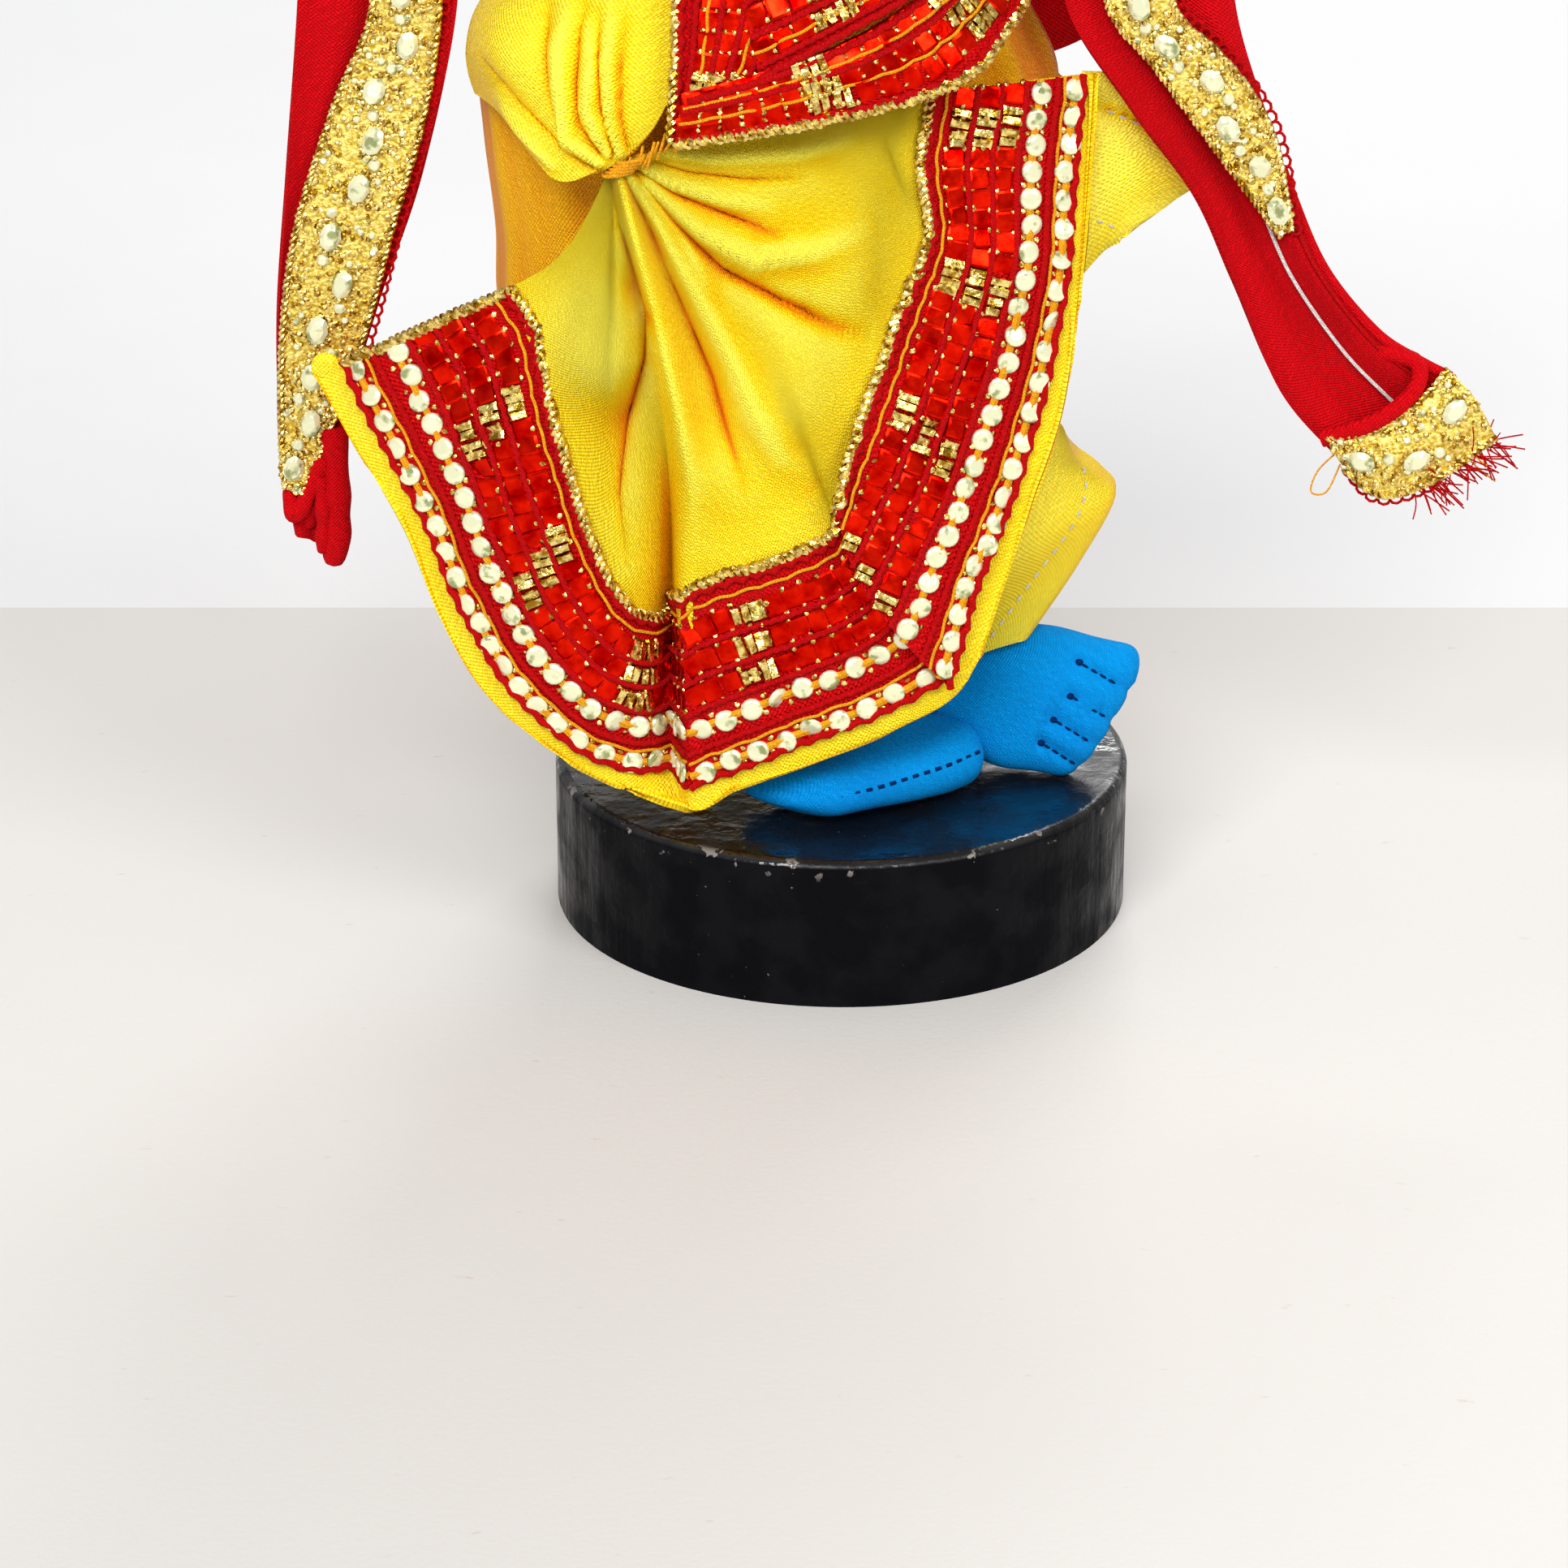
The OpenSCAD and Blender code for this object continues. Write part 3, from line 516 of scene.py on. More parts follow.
class Patch:
    """A smooth surface through rows of points. u runs along the rows and v across them, both from 0 to 1."""

    def __init__(self, table, way=(0, -1, 0), step=1.2, ripple=None):
        table = arr(table)
        size = [run(table[len(table) // 2])[-1], run(table[:, table.shape[1] // 2])[-1]]
        self.grid = surface(table, max(6, int(size[1] / step)), max(8, int(size[0] / step)))
        self.way = way
        if ripple:
            height = sampled(ripple, *self.grid.shape[:2])
            self.grid = self.grid + facing(self.grid, way) * height[..., None]
        self.normal = facing(self.grid, way)
        self.rows, self.cols = self.grid.shape[:2]
        middle = self.grid[self.rows // 2]
        self.length = run(middle)[-1]
        self.width = run(self.grid[:, self.cols // 2])[-1]
        self.at_run = run(middle) / self.length

    def lay(self, u, v, lift=0.0):
        """Points at u, v, lifted off the surface, with their directions along, across and outwards."""
        u, v = np.broadcast_arrays(arr(u), arr(v))
        x = np.interp(u, self.at_run, np.linspace(0, 1, self.cols)) * (self.cols - 1)
        y = np.clip(v, 0, 1) * (self.rows - 1)
        i, j = np.minimum(y.astype(int), self.rows - 2), np.minimum(x.astype(int), self.cols - 2)
        fy, fx = (y - i)[..., None], (x - j)[..., None]

        def mixed(g):
            low = g[i, j] * (1 - fx) + g[i, j + 1] * fx
            high = g[i + 1, j] * (1 - fx) + g[i + 1, j + 1] * fx
            return low * (1 - fy) + high * fy

        normal = unit(mixed(self.normal))
        along = unit(mixed(np.gradient(self.grid, axis=1)))
        across = np.cross(normal, along)
        lifted = mixed(self.grid) + normal * np.broadcast_to(arr(lift), u.shape)[..., None]
        return lifted, along, across, normal


class Piece:
    """One visible piece, put together from meshes with their own materials."""

    def __init__(self, name):
        self.name = name
        self.verts, self.faces, self.mats, self.index, self.uv, self.tone = [], [], [], [], [], []
        self.count = 0

    def add(self, shape, material, uv=None, tone=None):
        verts, faces = arr(shape[0]), shape[1]
        faces = faces.tolist() if isinstance(faces, np.ndarray) else faces
        if material not in self.mats:
            self.mats.append(material)
        self.verts.append(verts)
        self.faces += [[v + self.count for v in f] for f in faces]
        self.index += [self.mats.index(material)] * len(faces)
        self.uv.append(verts[:, [0, 2]] if uv is None else uv)
        self.tone.append(np.zeros(len(verts)) if tone is None else tone)
        self.count += len(verts)
        return self

    def slab(self, grid, thick, material, way, tone=None):
        """A sheet of cloth through a grid, with its two sides and its edges."""
        rows, cols = grid.shape[:2]
        n = facing(grid, way) * (np.broadcast_to(arr(thick), (rows, cols))[..., None] / 2)
        front, back = (grid + n).reshape(-1, 3), (grid - n).reshape(-1, 3)
        face = quads(rows, cols)
        first = np.cross(front[face[0, 1]] - front[face[0, 0]], front[face[0, 3]] - front[face[0, 0]])
        if (first * n[0, 0]).sum() < 0:
            face = face[:, ::-1]
        edge = np.r_[np.arange(cols), np.arange(1, rows) * cols + cols - 1,
                     np.arange(cols - 2, -1, -1) + (rows - 1) * cols, np.arange(rows - 2, 0, -1) * cols]
        following = np.roll(edge, -1)
        m = rows * cols
        rim = np.stack([edge, following, following + m, edge + m], 1)
        u = run(grid[0])[None, :] * np.ones((rows, 1))
        v = run(grid[:, cols // 2])[:, None] * np.ones((1, cols))
        uv = np.stack([u, v], -1).reshape(-1, 2)
        tone = np.zeros(m) if tone is None else np.broadcast_to(tone, (rows, cols)).ravel()
        faces = np.concatenate([face, face[:, ::-1] + m, rim])
        both = np.concatenate([front, back])
        return self.add((both, faces), material, np.concatenate([uv, uv]), np.concatenate([tone, tone]))

    def done(self, body="root", slot=None, nodes=()):
        mesh = bpy.data.meshes.new(self.name)
        verts = np.concatenate(self.verts) * MM
        verts[:, 2] += TOP
        mesh.from_pydata(verts.tolist(), [], self.faces)
        for material in self.mats:
            mesh.materials.append(material)
        mesh.polygons.foreach_set("material_index", self.index)
        mesh.polygons.foreach_set("use_smooth", [True] * len(self.faces))
        corner = np.empty(len(mesh.loops), dtype=np.int32)
        mesh.loops.foreach_get("vertex_index", corner)
        mesh.uv_layers.new(name="cloth").data.foreach_set("uv", np.concatenate(self.uv)[corner].ravel())
        # A value at each point that the cloth materials read: the cloth's tone, with painted shade in its
        # folds and painted light on raised parts.
        mesh.attributes.new("tone", "FLOAT", "POINT").data.foreach_set("value", np.concatenate(self.tone))
        mesh.update()
        mesh.set_sharp_from_angle(angle=math.radians(50))
        obj = bpy.data.objects.new(self.name, mesh)
        bpy.context.scene.collection.objects.link(obj)
        if body:
            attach(obj, body)
        if nodes:
            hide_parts(*nodes)
        return obj


def stage_plane(name, corners, material):
    mesh = bpy.data.meshes.new(name)
    mesh.from_pydata(corners, [], [(0, 1, 2, 3)])
    mesh.materials.append(material)
    obj = bpy.data.objects.new(name, mesh)
    bpy.context.scene.collection.objects.link(obj)


# The floor and the backdrop are flat and meet behind the figure. In metres.
REACH = 4
JOIN = 0.131
for name, near, far, paint in (
        ("floor", -REACH, JOIN, plain_floor("floor", (0.63, 0.61, 0.585), 0.8)),
        ("backdrop", JOIN, REACH, plain_floor("backdrop", (0.73, 0.73, 0.735), 0.0))):
    stage_plane(name, [(-REACH, near, 0), (REACH, near, 0), (REACH, far, 0), (-REACH, far, 0)], paint)


# ---- Brocade tape ----

def spread(patch, pitch):
    """Places about a pitch apart along a patch, from 0 to 1."""
    n = max(1, int(patch.length / pitch))
    return (np.arange(n) + 0.5) / n


def line_on(patch, v, lift, step=1.0, wave=0.0, pitch=3.0, lo=0.0, hi=1.0):
    """A path along a patch at v across it. A wave makes it scalloped."""
    n = int(patch.length * (hi - lo) / step) + 2
    u = np.linspace(lo, hi, n)
    side = v + wave / patch.width * np.abs(np.sin(np.pi * u * patch.length / pitch))
    return patch.lay(u, side, lift)[0]


def tilted(patch, u, v, lift, tilt):
    """Spots on a patch with their frames leaning a little at random, in degrees."""
    spots, along, across, normal = patch.lay(u, v, lift)
    lean = np.radians(RNG.normal(0, tilt, (2, len(spots), 1)))
    normal = unit(normal + along * np.sin(lean[0]) + across * np.sin(lean[1]))
    along = unit(along - (along * normal).sum(1, keepdims=True) * normal)
    return spots, along, np.cross(normal, along), normal


def ground(piece, patch, columns, rows, lift, material):
    """The flat ribbon under the trimmings."""
    places = np.meshgrid(np.linspace(0, 1, columns), np.linspace(0, 1, rows))
    piece.slab(patch.lay(*places, lift)[0], 0.5, material, patch.way)


CELL_PITCH = 3.1
GOLD_EVERY = 8


def brocade(piece, patch, mirrors=(0.09, 0.30), cords=(0.20, 0.39, 0.545, 0.695), threads=(0.155, 0.865),
            foils=(0.467, 0.62, 0.77), scallops=(0.005, 0.925), gold_edge=0.985, start=0, gold_end=False):
    """Ribbon with rows of mirrors, columns of foil between cords, and a twisted gold edge."""
    length, width = patch.length, patch.width
    ground(piece, patch, 90, 12, 0.35, TAPE)
    for v in scallops:
        piece.add(tube(line_on(patch, v, 0.9, 0.5, 0.9, 3.0), 0.62), CORD)
    for v in cords:
        piece.add(tube(line_on(patch, v, 0.95, 0.8, 0.25, 1.6), 0.5), CORD)
    for v in threads:
        piece.add(tube(line_on(patch, v, 0.95, 0.8, 0.3, 5.0), 0.26, 6), ORANGE)
    for v in mirrors:
        u = spread(patch, 3.75)
        piece.add(tube(line_on(patch, v, 0.42), 0.7, 6), ORANGE)
        jitter = RNG.normal(0, 0.25, len(u)) / width
        piece.add(stamp(DISC, *tilted(patch, u, v + jitter, 0.65, 12), 1.82), MIRROR)
        between = np.repeat(u[:-1] + np.diff(u) / 2, 2)
        beside = v + np.tile([-1.3, 1.3], len(u) - 1) / width
        piece.add(stamp(NUGGET, *tilted(patch, between, beside, 0.5, 25), 0.8), GOLD)
    for v in foils:
        for k, u in enumerate(spread(patch, CELL_PITCH)):
            gold = (k + start) % GOLD_EVERY < 2
            spot, along, across, normal = tilted(
                patch, arr([u]), v + RNG.normal(0, 0.1) / width, 0.6, 14 if gold else 7)
            if gold:
                pair = tilted(patch, u + arr([-0.75, 0.75]) / length, arr([v, v]), 0.8, 15)
                strip = (pair[0], pair[1] * 0.42, pair[2] * RNG.uniform(0.85, 1.15), pair[3])
                piece.add(stamp(CELL, *strip, 3.3), GOLD)
                near_u = u + RNG.normal(0, 0.8, 3) / length
                near_v = v + RNG.normal(0, 0.9, 3) / width
                piece.add(stamp(NUGGET, *tilted(patch, near_u, near_v, 1.0, 35), 0.75), GOLD)
            else:
                piece.add(stamp(CELL, spot, along * 0.86, across, normal * 0.55, 3.6), FOIL)
                corner_u = arr([u + 0.5 * CELL_PITCH / length] * 2)
                corner_v = arr([v - 0.055, v + 0.055])
                piece.add(stamp(NUGGET, *tilted(patch, corner_u, corner_v, 0.62, 25), 0.8), GOLD)
    edges = [line_on(patch, gold_edge, 0.8, 1.5, 0.6, 7.0)] if gold_edge else []
    if gold_end:
        edges.append(patch.lay(np.full(14, 0.004), np.linspace(0.03, 0.97, 14), 0.8)[0])
    for edge in edges:
        for strand in twisted(edge + RNG.normal(0, 0.12, edge.shape), 0.95, 2.4):
            piece.add(strand, GOLD)


def tape(name, patch, nodes=(), **style):
    """A length of brocade as a piece of its own."""
    piece = Piece(name)
    brocade(piece, patch, **style)
    return piece.done(slot="brocade_tape", nodes=nodes)


def declare_sheet(grid):
    """Finds how long the longest column of a grid runs; nothing more is done with it."""
    high = max(run(column)[-1] for column in grid.swapaxes(0, 1))


# ---- The apron cloth ----

# Each row: the hem, the outer and inner edges of the tape, half way up, and the gathered top.
APRON = arr([
    [(-83.5, -19, 72.5), (-78.5, -20.5, 74.3), (-51.5, -26.5, 88), (-42.5, -27.5, 95), (-36, -30.5, 107.5)],
    [(-77, -23, 62), (-73.5, -24, 64), (-47, -29.5, 82), (-39.5, -28.5, 93.5), (-35.8, -31, 108)],
    [(-69.2, -27, 49), (-66, -27.5, 50.7), (-45.5, -32, 72.5), (-37.5, -30.5, 89), (-35.6, -31.2, 108)],
    [(-63.6, -30, 35), (-60.5, -30.5, 37.2), (-43, -33.5, 62), (-36.2, -31.5, 85.5), (-35.4, -31.5, 108)],
    [(-56.6, -32, 23), (-53.6, -32.5, 25), (-39.5, -33, 49), (-35, -33.5, 80), (-35.2, -31.6, 108.2)],
    [(-45, -34.5, 13.5), (-43.5, -34.5, 15.5), (-34.5, -33, 38.5), (-32.5, -33.2, 74), (-35, -31.8, 108.4)],
    [(-34, -36, 8), (-34.5, -35.2, 11), (-29.8, -29, 35), (-30, -32, 70), (-34.8, -31.8, 108.6)],
    [(-26.5, -36.5, 5), (-27.2, -31, 9.5), (-27.2, -22, 36), (-28, -31.5, 70), (-34.5, -32, 108.8)],
    [(-23, -37, 5), (-24, -36.8, 8.8), (-25.4, -34.8, 40.5), (-26.4, -33, 71), (-34.2, -32, 108.9)],
    [(-17.5, -36.8, 8.6), (-17.5, -36.8, 11.6), (-21, -36, 43.8), (-24.5, -33.5, 75), (-34, -32, 109)],
    [(-4.5, -35.2, 13), (-5, -36, 16.6), (-11, -35.5, 46.8), (-21, -33, 78), (-33.5, -32, 109.2)],
    [(8, -33.5, 18), (7.5, -35, 21.5), (-2, -34.5, 51), (-16, -33, 82), (-33, -32, 109.5)],
    [(20, -31.5, 27.5), (16, -33, 26), (-1.5, -35, 57), (-12, -33, 86), (-31.5, -31.5, 110)],
    [(25, -29, 40), (21, -30, 41), (1, -33.5, 66.5), (-7, -32, 92), (-29, -31, 110.5)],
    [(29.2, -27, 52.8), (26, -27.5, 53.5), (5.4, -31.5, 78), (-1, -31, 98), (-25, -30.5, 111.5)],
    [(34, -24, 68), (30.8, -24.5, 69), (8.5, -29.5, 86.6), (2, -29.5, 104), (-18, -30, 113.5)],
    [(36.3, -21, 89.4), (34.4, -21.5, 89.4), (12.5, -27, 97), (4, -28, 110), (-10, -29.5, 115)],
    [(37.4, -17, 105), (35.5, -17.5, 105), (11, -26, 107.6), (5, -27, 114), (-2, -29, 116.5)],
    [(38, -14, 118.4), (36.6, -14.5, 118.4), (13, -23.5, 118.2), (10, -25, 118.6), (6, -27, 118)]])

# Folds: a line of (x, height) points, how far it stands out, and its half width.
FOLDS = [
    ([(-34.6, 108), (-32, 98), (-29, 86), (-26, 73), (-23.5, 60), (-23, 46)], 4.6, 2.6),
    ([(-35.6, 107), (-34.6, 99), (-32.5, 92), (-30.6, 85), (-31, 78), (-33.8, 68), (-35.2, 56), (-34, 44)],
     -6.5, 1.7),
    ([(-34, 109), (-28.8, 100.7), (-22.6, 89), (-17.5, 79), (-14.4, 71.5), (-9.9, 63.5), (-4.7, 59)], 3.8,
     2.6),
    ([(-34.2, 108), (-29, 96), (-24.5, 85), (-20.5, 75), (-18, 66), (-15, 57)], -4.0, 1.5),
    ([(-33, 108.5), (-26, 99.5), (-19, 92), (-10, 87), (-3.5, 84), (4, 82)], -4.6, 1.5),
    ([(-30, 106), (-22, 98.5), (-14, 94.5), (-5, 96), (4, 99)], 3.2, 2.2),
    ([(-33, 109), (-26, 104), (-18, 100.5), (-9, 97)], -3.2, 1.0),
    ([(-33, 109.6), (-27, 106), (-19, 103.5), (-10, 102)], 1.8, 1.1),
    ([(-32, 110), (-24, 107.3), (-15, 106), (-6, 106.5)], -2.2, 0.8),
    ([(-31, 111), (-20, 109.5), (-8, 110), (2, 112)], 1.6, 1.3),
    ([(-31, 105.5), (-25, 97.5), (-20.5, 89)], 1.4, 0.9),
    ([(-33.5, 107), (-30, 100), (-27.3, 93)], -1.8, 0.7),
    ([(-35.3, 107), (-34.6, 98), (-33.2, 90)], 1.8, 1.0)]
SWELLS = [((-39.5, 79), 6.5, 8.0), ((-8, 72), 3.0, 9), ((2, 92), 2.0, 8), ((-19, 60), 1.5, 6)]


apron_table = APRON.swapaxes(0, 1)
grid = surface(apron_table, 101, 171)
# The folds start at the tape's inner edge and stand out most half way up.
fold_share = smooth(arr([0.0, 0.0, 0.45, 1.0, 0.6])[:, None], 101)
relief = folded(grid[..., 0], grid[..., 2], FOLDS, SWELLS) * np.clip(fold_share, 0, 1)
grid[..., 1] -= relief
thick = np.full(grid.shape[:2], 0.8)
thick[:4] = arr([1.5, 1.9, 1.9, 1.4])[:, None]
# Painted highlight on the top of the puff, and painted shade in the apron's hollows.
painted_puff_highlight = 0.25 * np.exp(-((grid[..., 0] + 38.5)**2 + (grid[..., 2] - 86)**2) / 40)
tone = 0.06 + 0.6 * hollows(relief) - painted_puff_highlight
apron = Piece("apron_cloth").slab(grid, thick, YELLOW, (0, -1, 0), tone=tone)
apron.add(blob((-81.2, -19.4, 72.6), (2.3, 0, 0.8), (0, 1.2, 0), (-0.9, 0, 2.4)), YELLOW)
apron = apron.done(slot="yellow_satin", nodes=("dhoti_apron",))


def tape_strip(first, last, extra=None):
    """The tape's strip of the apron between two of its columns."""
    outer, inner = apron_table[1][first:last + 1], apron_table[2][first:last + 1]
    crown = (0, -0.5, -0.7, 0)
    table = arr([outer * (1 - share) + inner * share + arr((0, rise, 0))
                 for share, rise in zip((0, 0.33, 0.67, 1), crown)]) + arr((0, -0.5, 0))
    table = extra(table) if extra else table
    return Patch(table, ripple=lambda u, v: 0.35 * np.sin(u * 31 + 2 * v) * np.sin(u * 11))


def fold_over(table):
    """The lower end of the left band lies over the front band."""
    table = table.copy()
    table[:, 0] += arr([(0.5, -1.8, -1.0), (-2, -3.0, -1.5), (-3, -3.2, -1.0), (0, -3.0, -0.5)])
    table[:, 1] += arr((0, -1.8, 0))
    return table


for side, first, last, extra, style in (
        ("right", 0, 8, None, {"start": 3, "gold_end": True}),
        ("front", 8, 12, None, {"start": 5}),
        ("left", 12, 18, fold_over, {"start": 1})):
    strip = tape_strip(first, last, extra)
    tape("tape_band_" + side, strip, ("apron_tape_" + side,), **style)
declare_sheet(grid)


# ---- Feet ----

def running_stitch(piece, path, material=WHITE, step=2.4, gap=1.3, r=0.2):
    """Dashes of thread along a path."""
    path = even(path, 0.4)
    s = run(path)
    for start in np.arange(0.5, s[-1] - step, step):
        spots = np.linspace(start, start + gap, 4)
        dash = np.stack([np.interp(spots, s, path[:, i]) for i in range(3)], 1)
        piece.add(tube(dash, arr([0.08, r, r, 0.08]), 5), material)


# How far the lines between the toes lean across the foot, over its whole length.
TOE_LEAN = 11


def foot(name, heel, toe, side, widths, heights, nodes, slant, toes=(), seam=()):
    """A flat stuffed foot from heel to toe, side across it. Each stitched line between two toes has its place
    across and its start along the foot. The seam is a line of places along and across."""
    heel, toe = arr(heel), arr(toe)
    along = unit(toe - heel)
    across = unit(arr(side) - (arr(side) @ along) * along)
    up = np.cross(along, across)
    up = up if up[2] > 0 else -up
    rows, sides = 84, 84
    s = np.linspace(0, 1, rows)
    end = np.maximum(np.clip((s - 0.84) / 0.16, 0, 1), np.clip((0.12 - s) / 0.12, 0, 1))
    w = smooth(arr(widths)[:, None], rows)[:, 0] * np.sqrt(1 - 0.75 * end**3)
    h = smooth(arr(heights)[:, None], rows)[:, 0] * np.sqrt(1 - 0.93 * end**2)
    widest = w.max()

    def pinch(s, x):
        """How deeply the toe stitches pull in, and how far they draw the tip back."""
        depth, tip = np.zeros(np.broadcast(s, x).shape), np.zeros(np.broadcast(s, x).shape)
        for edge, start in toes:
            gap = x - edge * widest + TOE_LEAN * (s - start)
            knot = np.exp(-(gap / 1.2)**2 - ((s - start) / 0.035)**2)
            depth += np.exp(-(gap / 0.9)**2) * np.clip((s - start) / 0.08, 0, 1) + knot
            tip += np.exp(-(gap / 1.0)**2) * np.clip((s - 0.86) / 0.14, 0, 1)
        return depth, tip

    def skin(share, x):
        """A point of the upper side, at a share of the length and x across."""
        width, height = np.interp(share, s, w), np.interp(share, s, h)
        pull = 1 - 0.26 * min(float(pinch(arr(share), arr(x))[0]), 1.2)
        z = height * (1 - min(abs(x / width), 0.99)**2.667)**0.475 * pull
        return heel + share * (toe - heel) + across * x + up * z + along * slant * share * x / widest

    angle = np.linspace(0, 2 * math.pi, sides, endpoint=False)
    c, d = np.cos(angle), np.sin(angle)
    x = np.sign(c) * np.abs(c)**0.75 * w[:, None]
    depth, tip = pinch(s[:, None], x)
    z = np.sign(d) * np.abs(d)**0.95 * h[:, None] * (1 - 0.26 * np.minimum(depth, 1.2))
    z += 0.3 * np.sin(7 * s[:, None] + 2 * x / widest) * np.sin(3 * angle) * (s[:, None] < 0.66)
    points = (heel + s[:, None] * (toe - heel))[:, None] + x[..., None] * across + z[..., None] * up
    points = points + (slant * s[:, None] * x / widest - 0.45 * tip)[..., None] * along
    body = Piece(name).add((points.reshape(-1, 3), capped(rows, sides)), BLUE)
    for edge, start in toes:
        line = [skin(start + t, edge * widest - TOE_LEAN * t) + up * 0.2 for t in np.linspace(0, 0.24, 9)]
        body.add(blob(line[0], along * 0.7, across * 0.6, up * 0.5, 6), NAVY)
        running_stitch(body, line, NAVY, 1.7, 1.3, 0.24)
    if seam:
        line = even([skin(a, b * np.interp(a, s, w)) for a, b in seam], 1.1)
        for k in range(0, len(line) - 1, 2):
            body.add(tube(line[k:k + 2], 0.34, 6), NAVY)
    obj = body.done(slot="blue_cotton", nodes=nodes)


foot("left_foot_cloth", (14, -4.5, 14.7), (45, -10.5, 10.3), (9.5, 2.5, 12.5),
     widths=[7, 10.3, 12.2, 11.8, 11.8], heights=[5.2, 5.9, 5.6, 4.2], nodes=("left_foot",), slant=4,
     toes=((-0.54, 0.70), (-0.20, 0.71), (0.15, 0.74), (0.61, 0.71)))
foot("right_foot_cloth", (21, -10.5, 5.6), (-11.8, -30.5, 4.0), (-0.55, 0.83, 0),
     widths=[6.5, 8.8, 9.8, 10, 10, 10, 9.8, 9.2, 7.0], heights=[5.2, 5.4, 5.4, 5, 4.6, 4.2, 3.9, 3.6, 2.4],
     nodes=("right_foot",), slant=4.5, seam=[(a, -0.955) for a in (0.10, 0.3, 0.5, 0.7, 0.9)])


# ---- Loose cloth of the dhoti ----

def drape(name, table, way, material, nodes, ripple, thick=0.8,
          slot="yellow_satin", tone=0.08, depth_tone=0.05, step=1.2, stitches=(), lines=(), swells=()):
    """A sheet of cloth through a table of points, with running stitches along lines (u0, v0, u1, v1)."""
    patch = Patch(table, way, step)
    height = sampled(ripple, *patch.grid.shape[:2])
    if lines:
        height = height + folded(patch.grid[..., 0], patch.grid[..., 2], lines, swells)
    patch.grid = patch.grid + patch.normal * height[..., None]
    patch.normal = facing(patch.grid, way)
    # Painted shade in the hollows of the folds and painted light on their raised parts.
    painted_light_tones = tone - depth_tone * height + 0.5 * hollows(height)
    piece = Piece(name).slab(patch.grid, thick, material, way, tone=painted_light_tones)
    for u0, v0, u1, v1 in stitches:
        line = patch.lay(np.linspace(u0, u1, 40), np.linspace(v0, v1, 40), thick / 2 + 0.12)[0]
        running_stitch(piece, line)
    obj = piece.done(slot=slot, nodes=nodes)
    declare_sheet(patch.grid)
    return patch


def ellipse_rings(rings, n, sides, relief=None):
    """Rings (height, centre x, centre y, half width, half depth) smoothed into a closed wall."""
    table = smooth(arr(rings), n)
    angle = np.linspace(0, 2 * math.pi, sides, endpoint=False)
    out = 0 if relief is None else relief(angle[None, :], np.linspace(0, 1, n)[:, None])
    x = table[:, 1:2] + (table[:, 3:4] + out) * np.cos(angle)
    y = table[:, 2:3] + (table[:, 4:5] + out) * np.sin(angle)
    return np.stack([x, y, np.broadcast_to(table[:, 0:1], x.shape)], -1)


def stuffed(name, rings, node, n=40, relief=None, seam_column=None):
    """A closed stuffed form through rings, with a line of stitches down one column of its wall."""
    sides = 64
    wall = ellipse_rings(rings, n, sides, relief)
    piece = Piece(name).add((wall.reshape(-1, 3), capped(n, sides)), BLUE)
    if seam_column:
        running_stitch(piece, wall[2:-2, seam_column] + arr((0, 0.12, 0)), NAVY, 3.0, 1.6, 0.22)
    obj = piece.done(slot="blue_cotton", nodes=(node,))


def cloth_ring(name, rings, relief, material, thick, nodes, slot, flat, tone=0.3):
    """A sheet of cloth wrapped round the body and closed on itself."""
    n, sides = 60, 160
    wall = ellipse_rings(rings, n, sides, relief)
    inner = ellipse_rings(rings, n, sides, lambda a, v: relief(a, v) - thick)
    angle = np.linspace(0, 2 * math.pi, sides, endpoint=False)
    height = relief(angle[None, :], np.linspace(0, 1, n)[:, None]) * np.ones((n, sides))
    m = n * sides
    face = quads(n, sides, ring=True)
    ring = np.arange(sides)
    following = (ring + 1) % sides
    rim = np.stack([ring, following, following + m, ring + m], 1)
    faces = np.concatenate([face, face[:, ::-1] + m, rim[:, ::-1], rim + (n - 1) * sides])
    u = np.broadcast_to(angle * flat[0] / MM / (2 * math.pi), (n, sides))
    v = np.broadcast_to(np.linspace(0, flat[1] / MM, n)[:, None], (n, sides))
    uv = np.stack([u, v], -1).reshape(-1, 2)
    # Painted shade in the hollows of the folds and painted light on their raised parts.
    painted_light_tones = (tone - 0.06 * height + 0.4 * hollows(height)).ravel()
    both = np.concatenate([wall.reshape(-1, 3), inner.reshape(-1, 3)])
    piece = Piece(name).add((both, faces), material, np.concatenate([uv, uv]),
                            np.concatenate([painted_light_tones, painted_light_tones]))
    obj = piece.done(slot=slot, nodes=nodes)


def seat_folds(a, v):
    waves = 0.7 * np.sin(9 * a + 2 * v) + 0.5 * np.sin(17 * a - 3 * v) + 0.3 * np.sin(31 * a)
    return waves * (0.35 + 0.65 * np.abs(v - 0.4))


SEAT = [(58, -10, -1, 37, 25), (75, -12, -1, 42.5, 25), (90, -12, 0, 43.3, 24.5), (105, -12, 1, 45, 25),
        (116, -12, 2, 45.3, 24), (127, -12, 2, 40, 22.5), (134, -11, 2, 35.5, 21)]
cloth_ring("dhoti_seat_cloth", SEAT, seat_folds, AMBER, 0.9, ("dhoti_seat",), "yellow_satin", (0.25, 0.08))

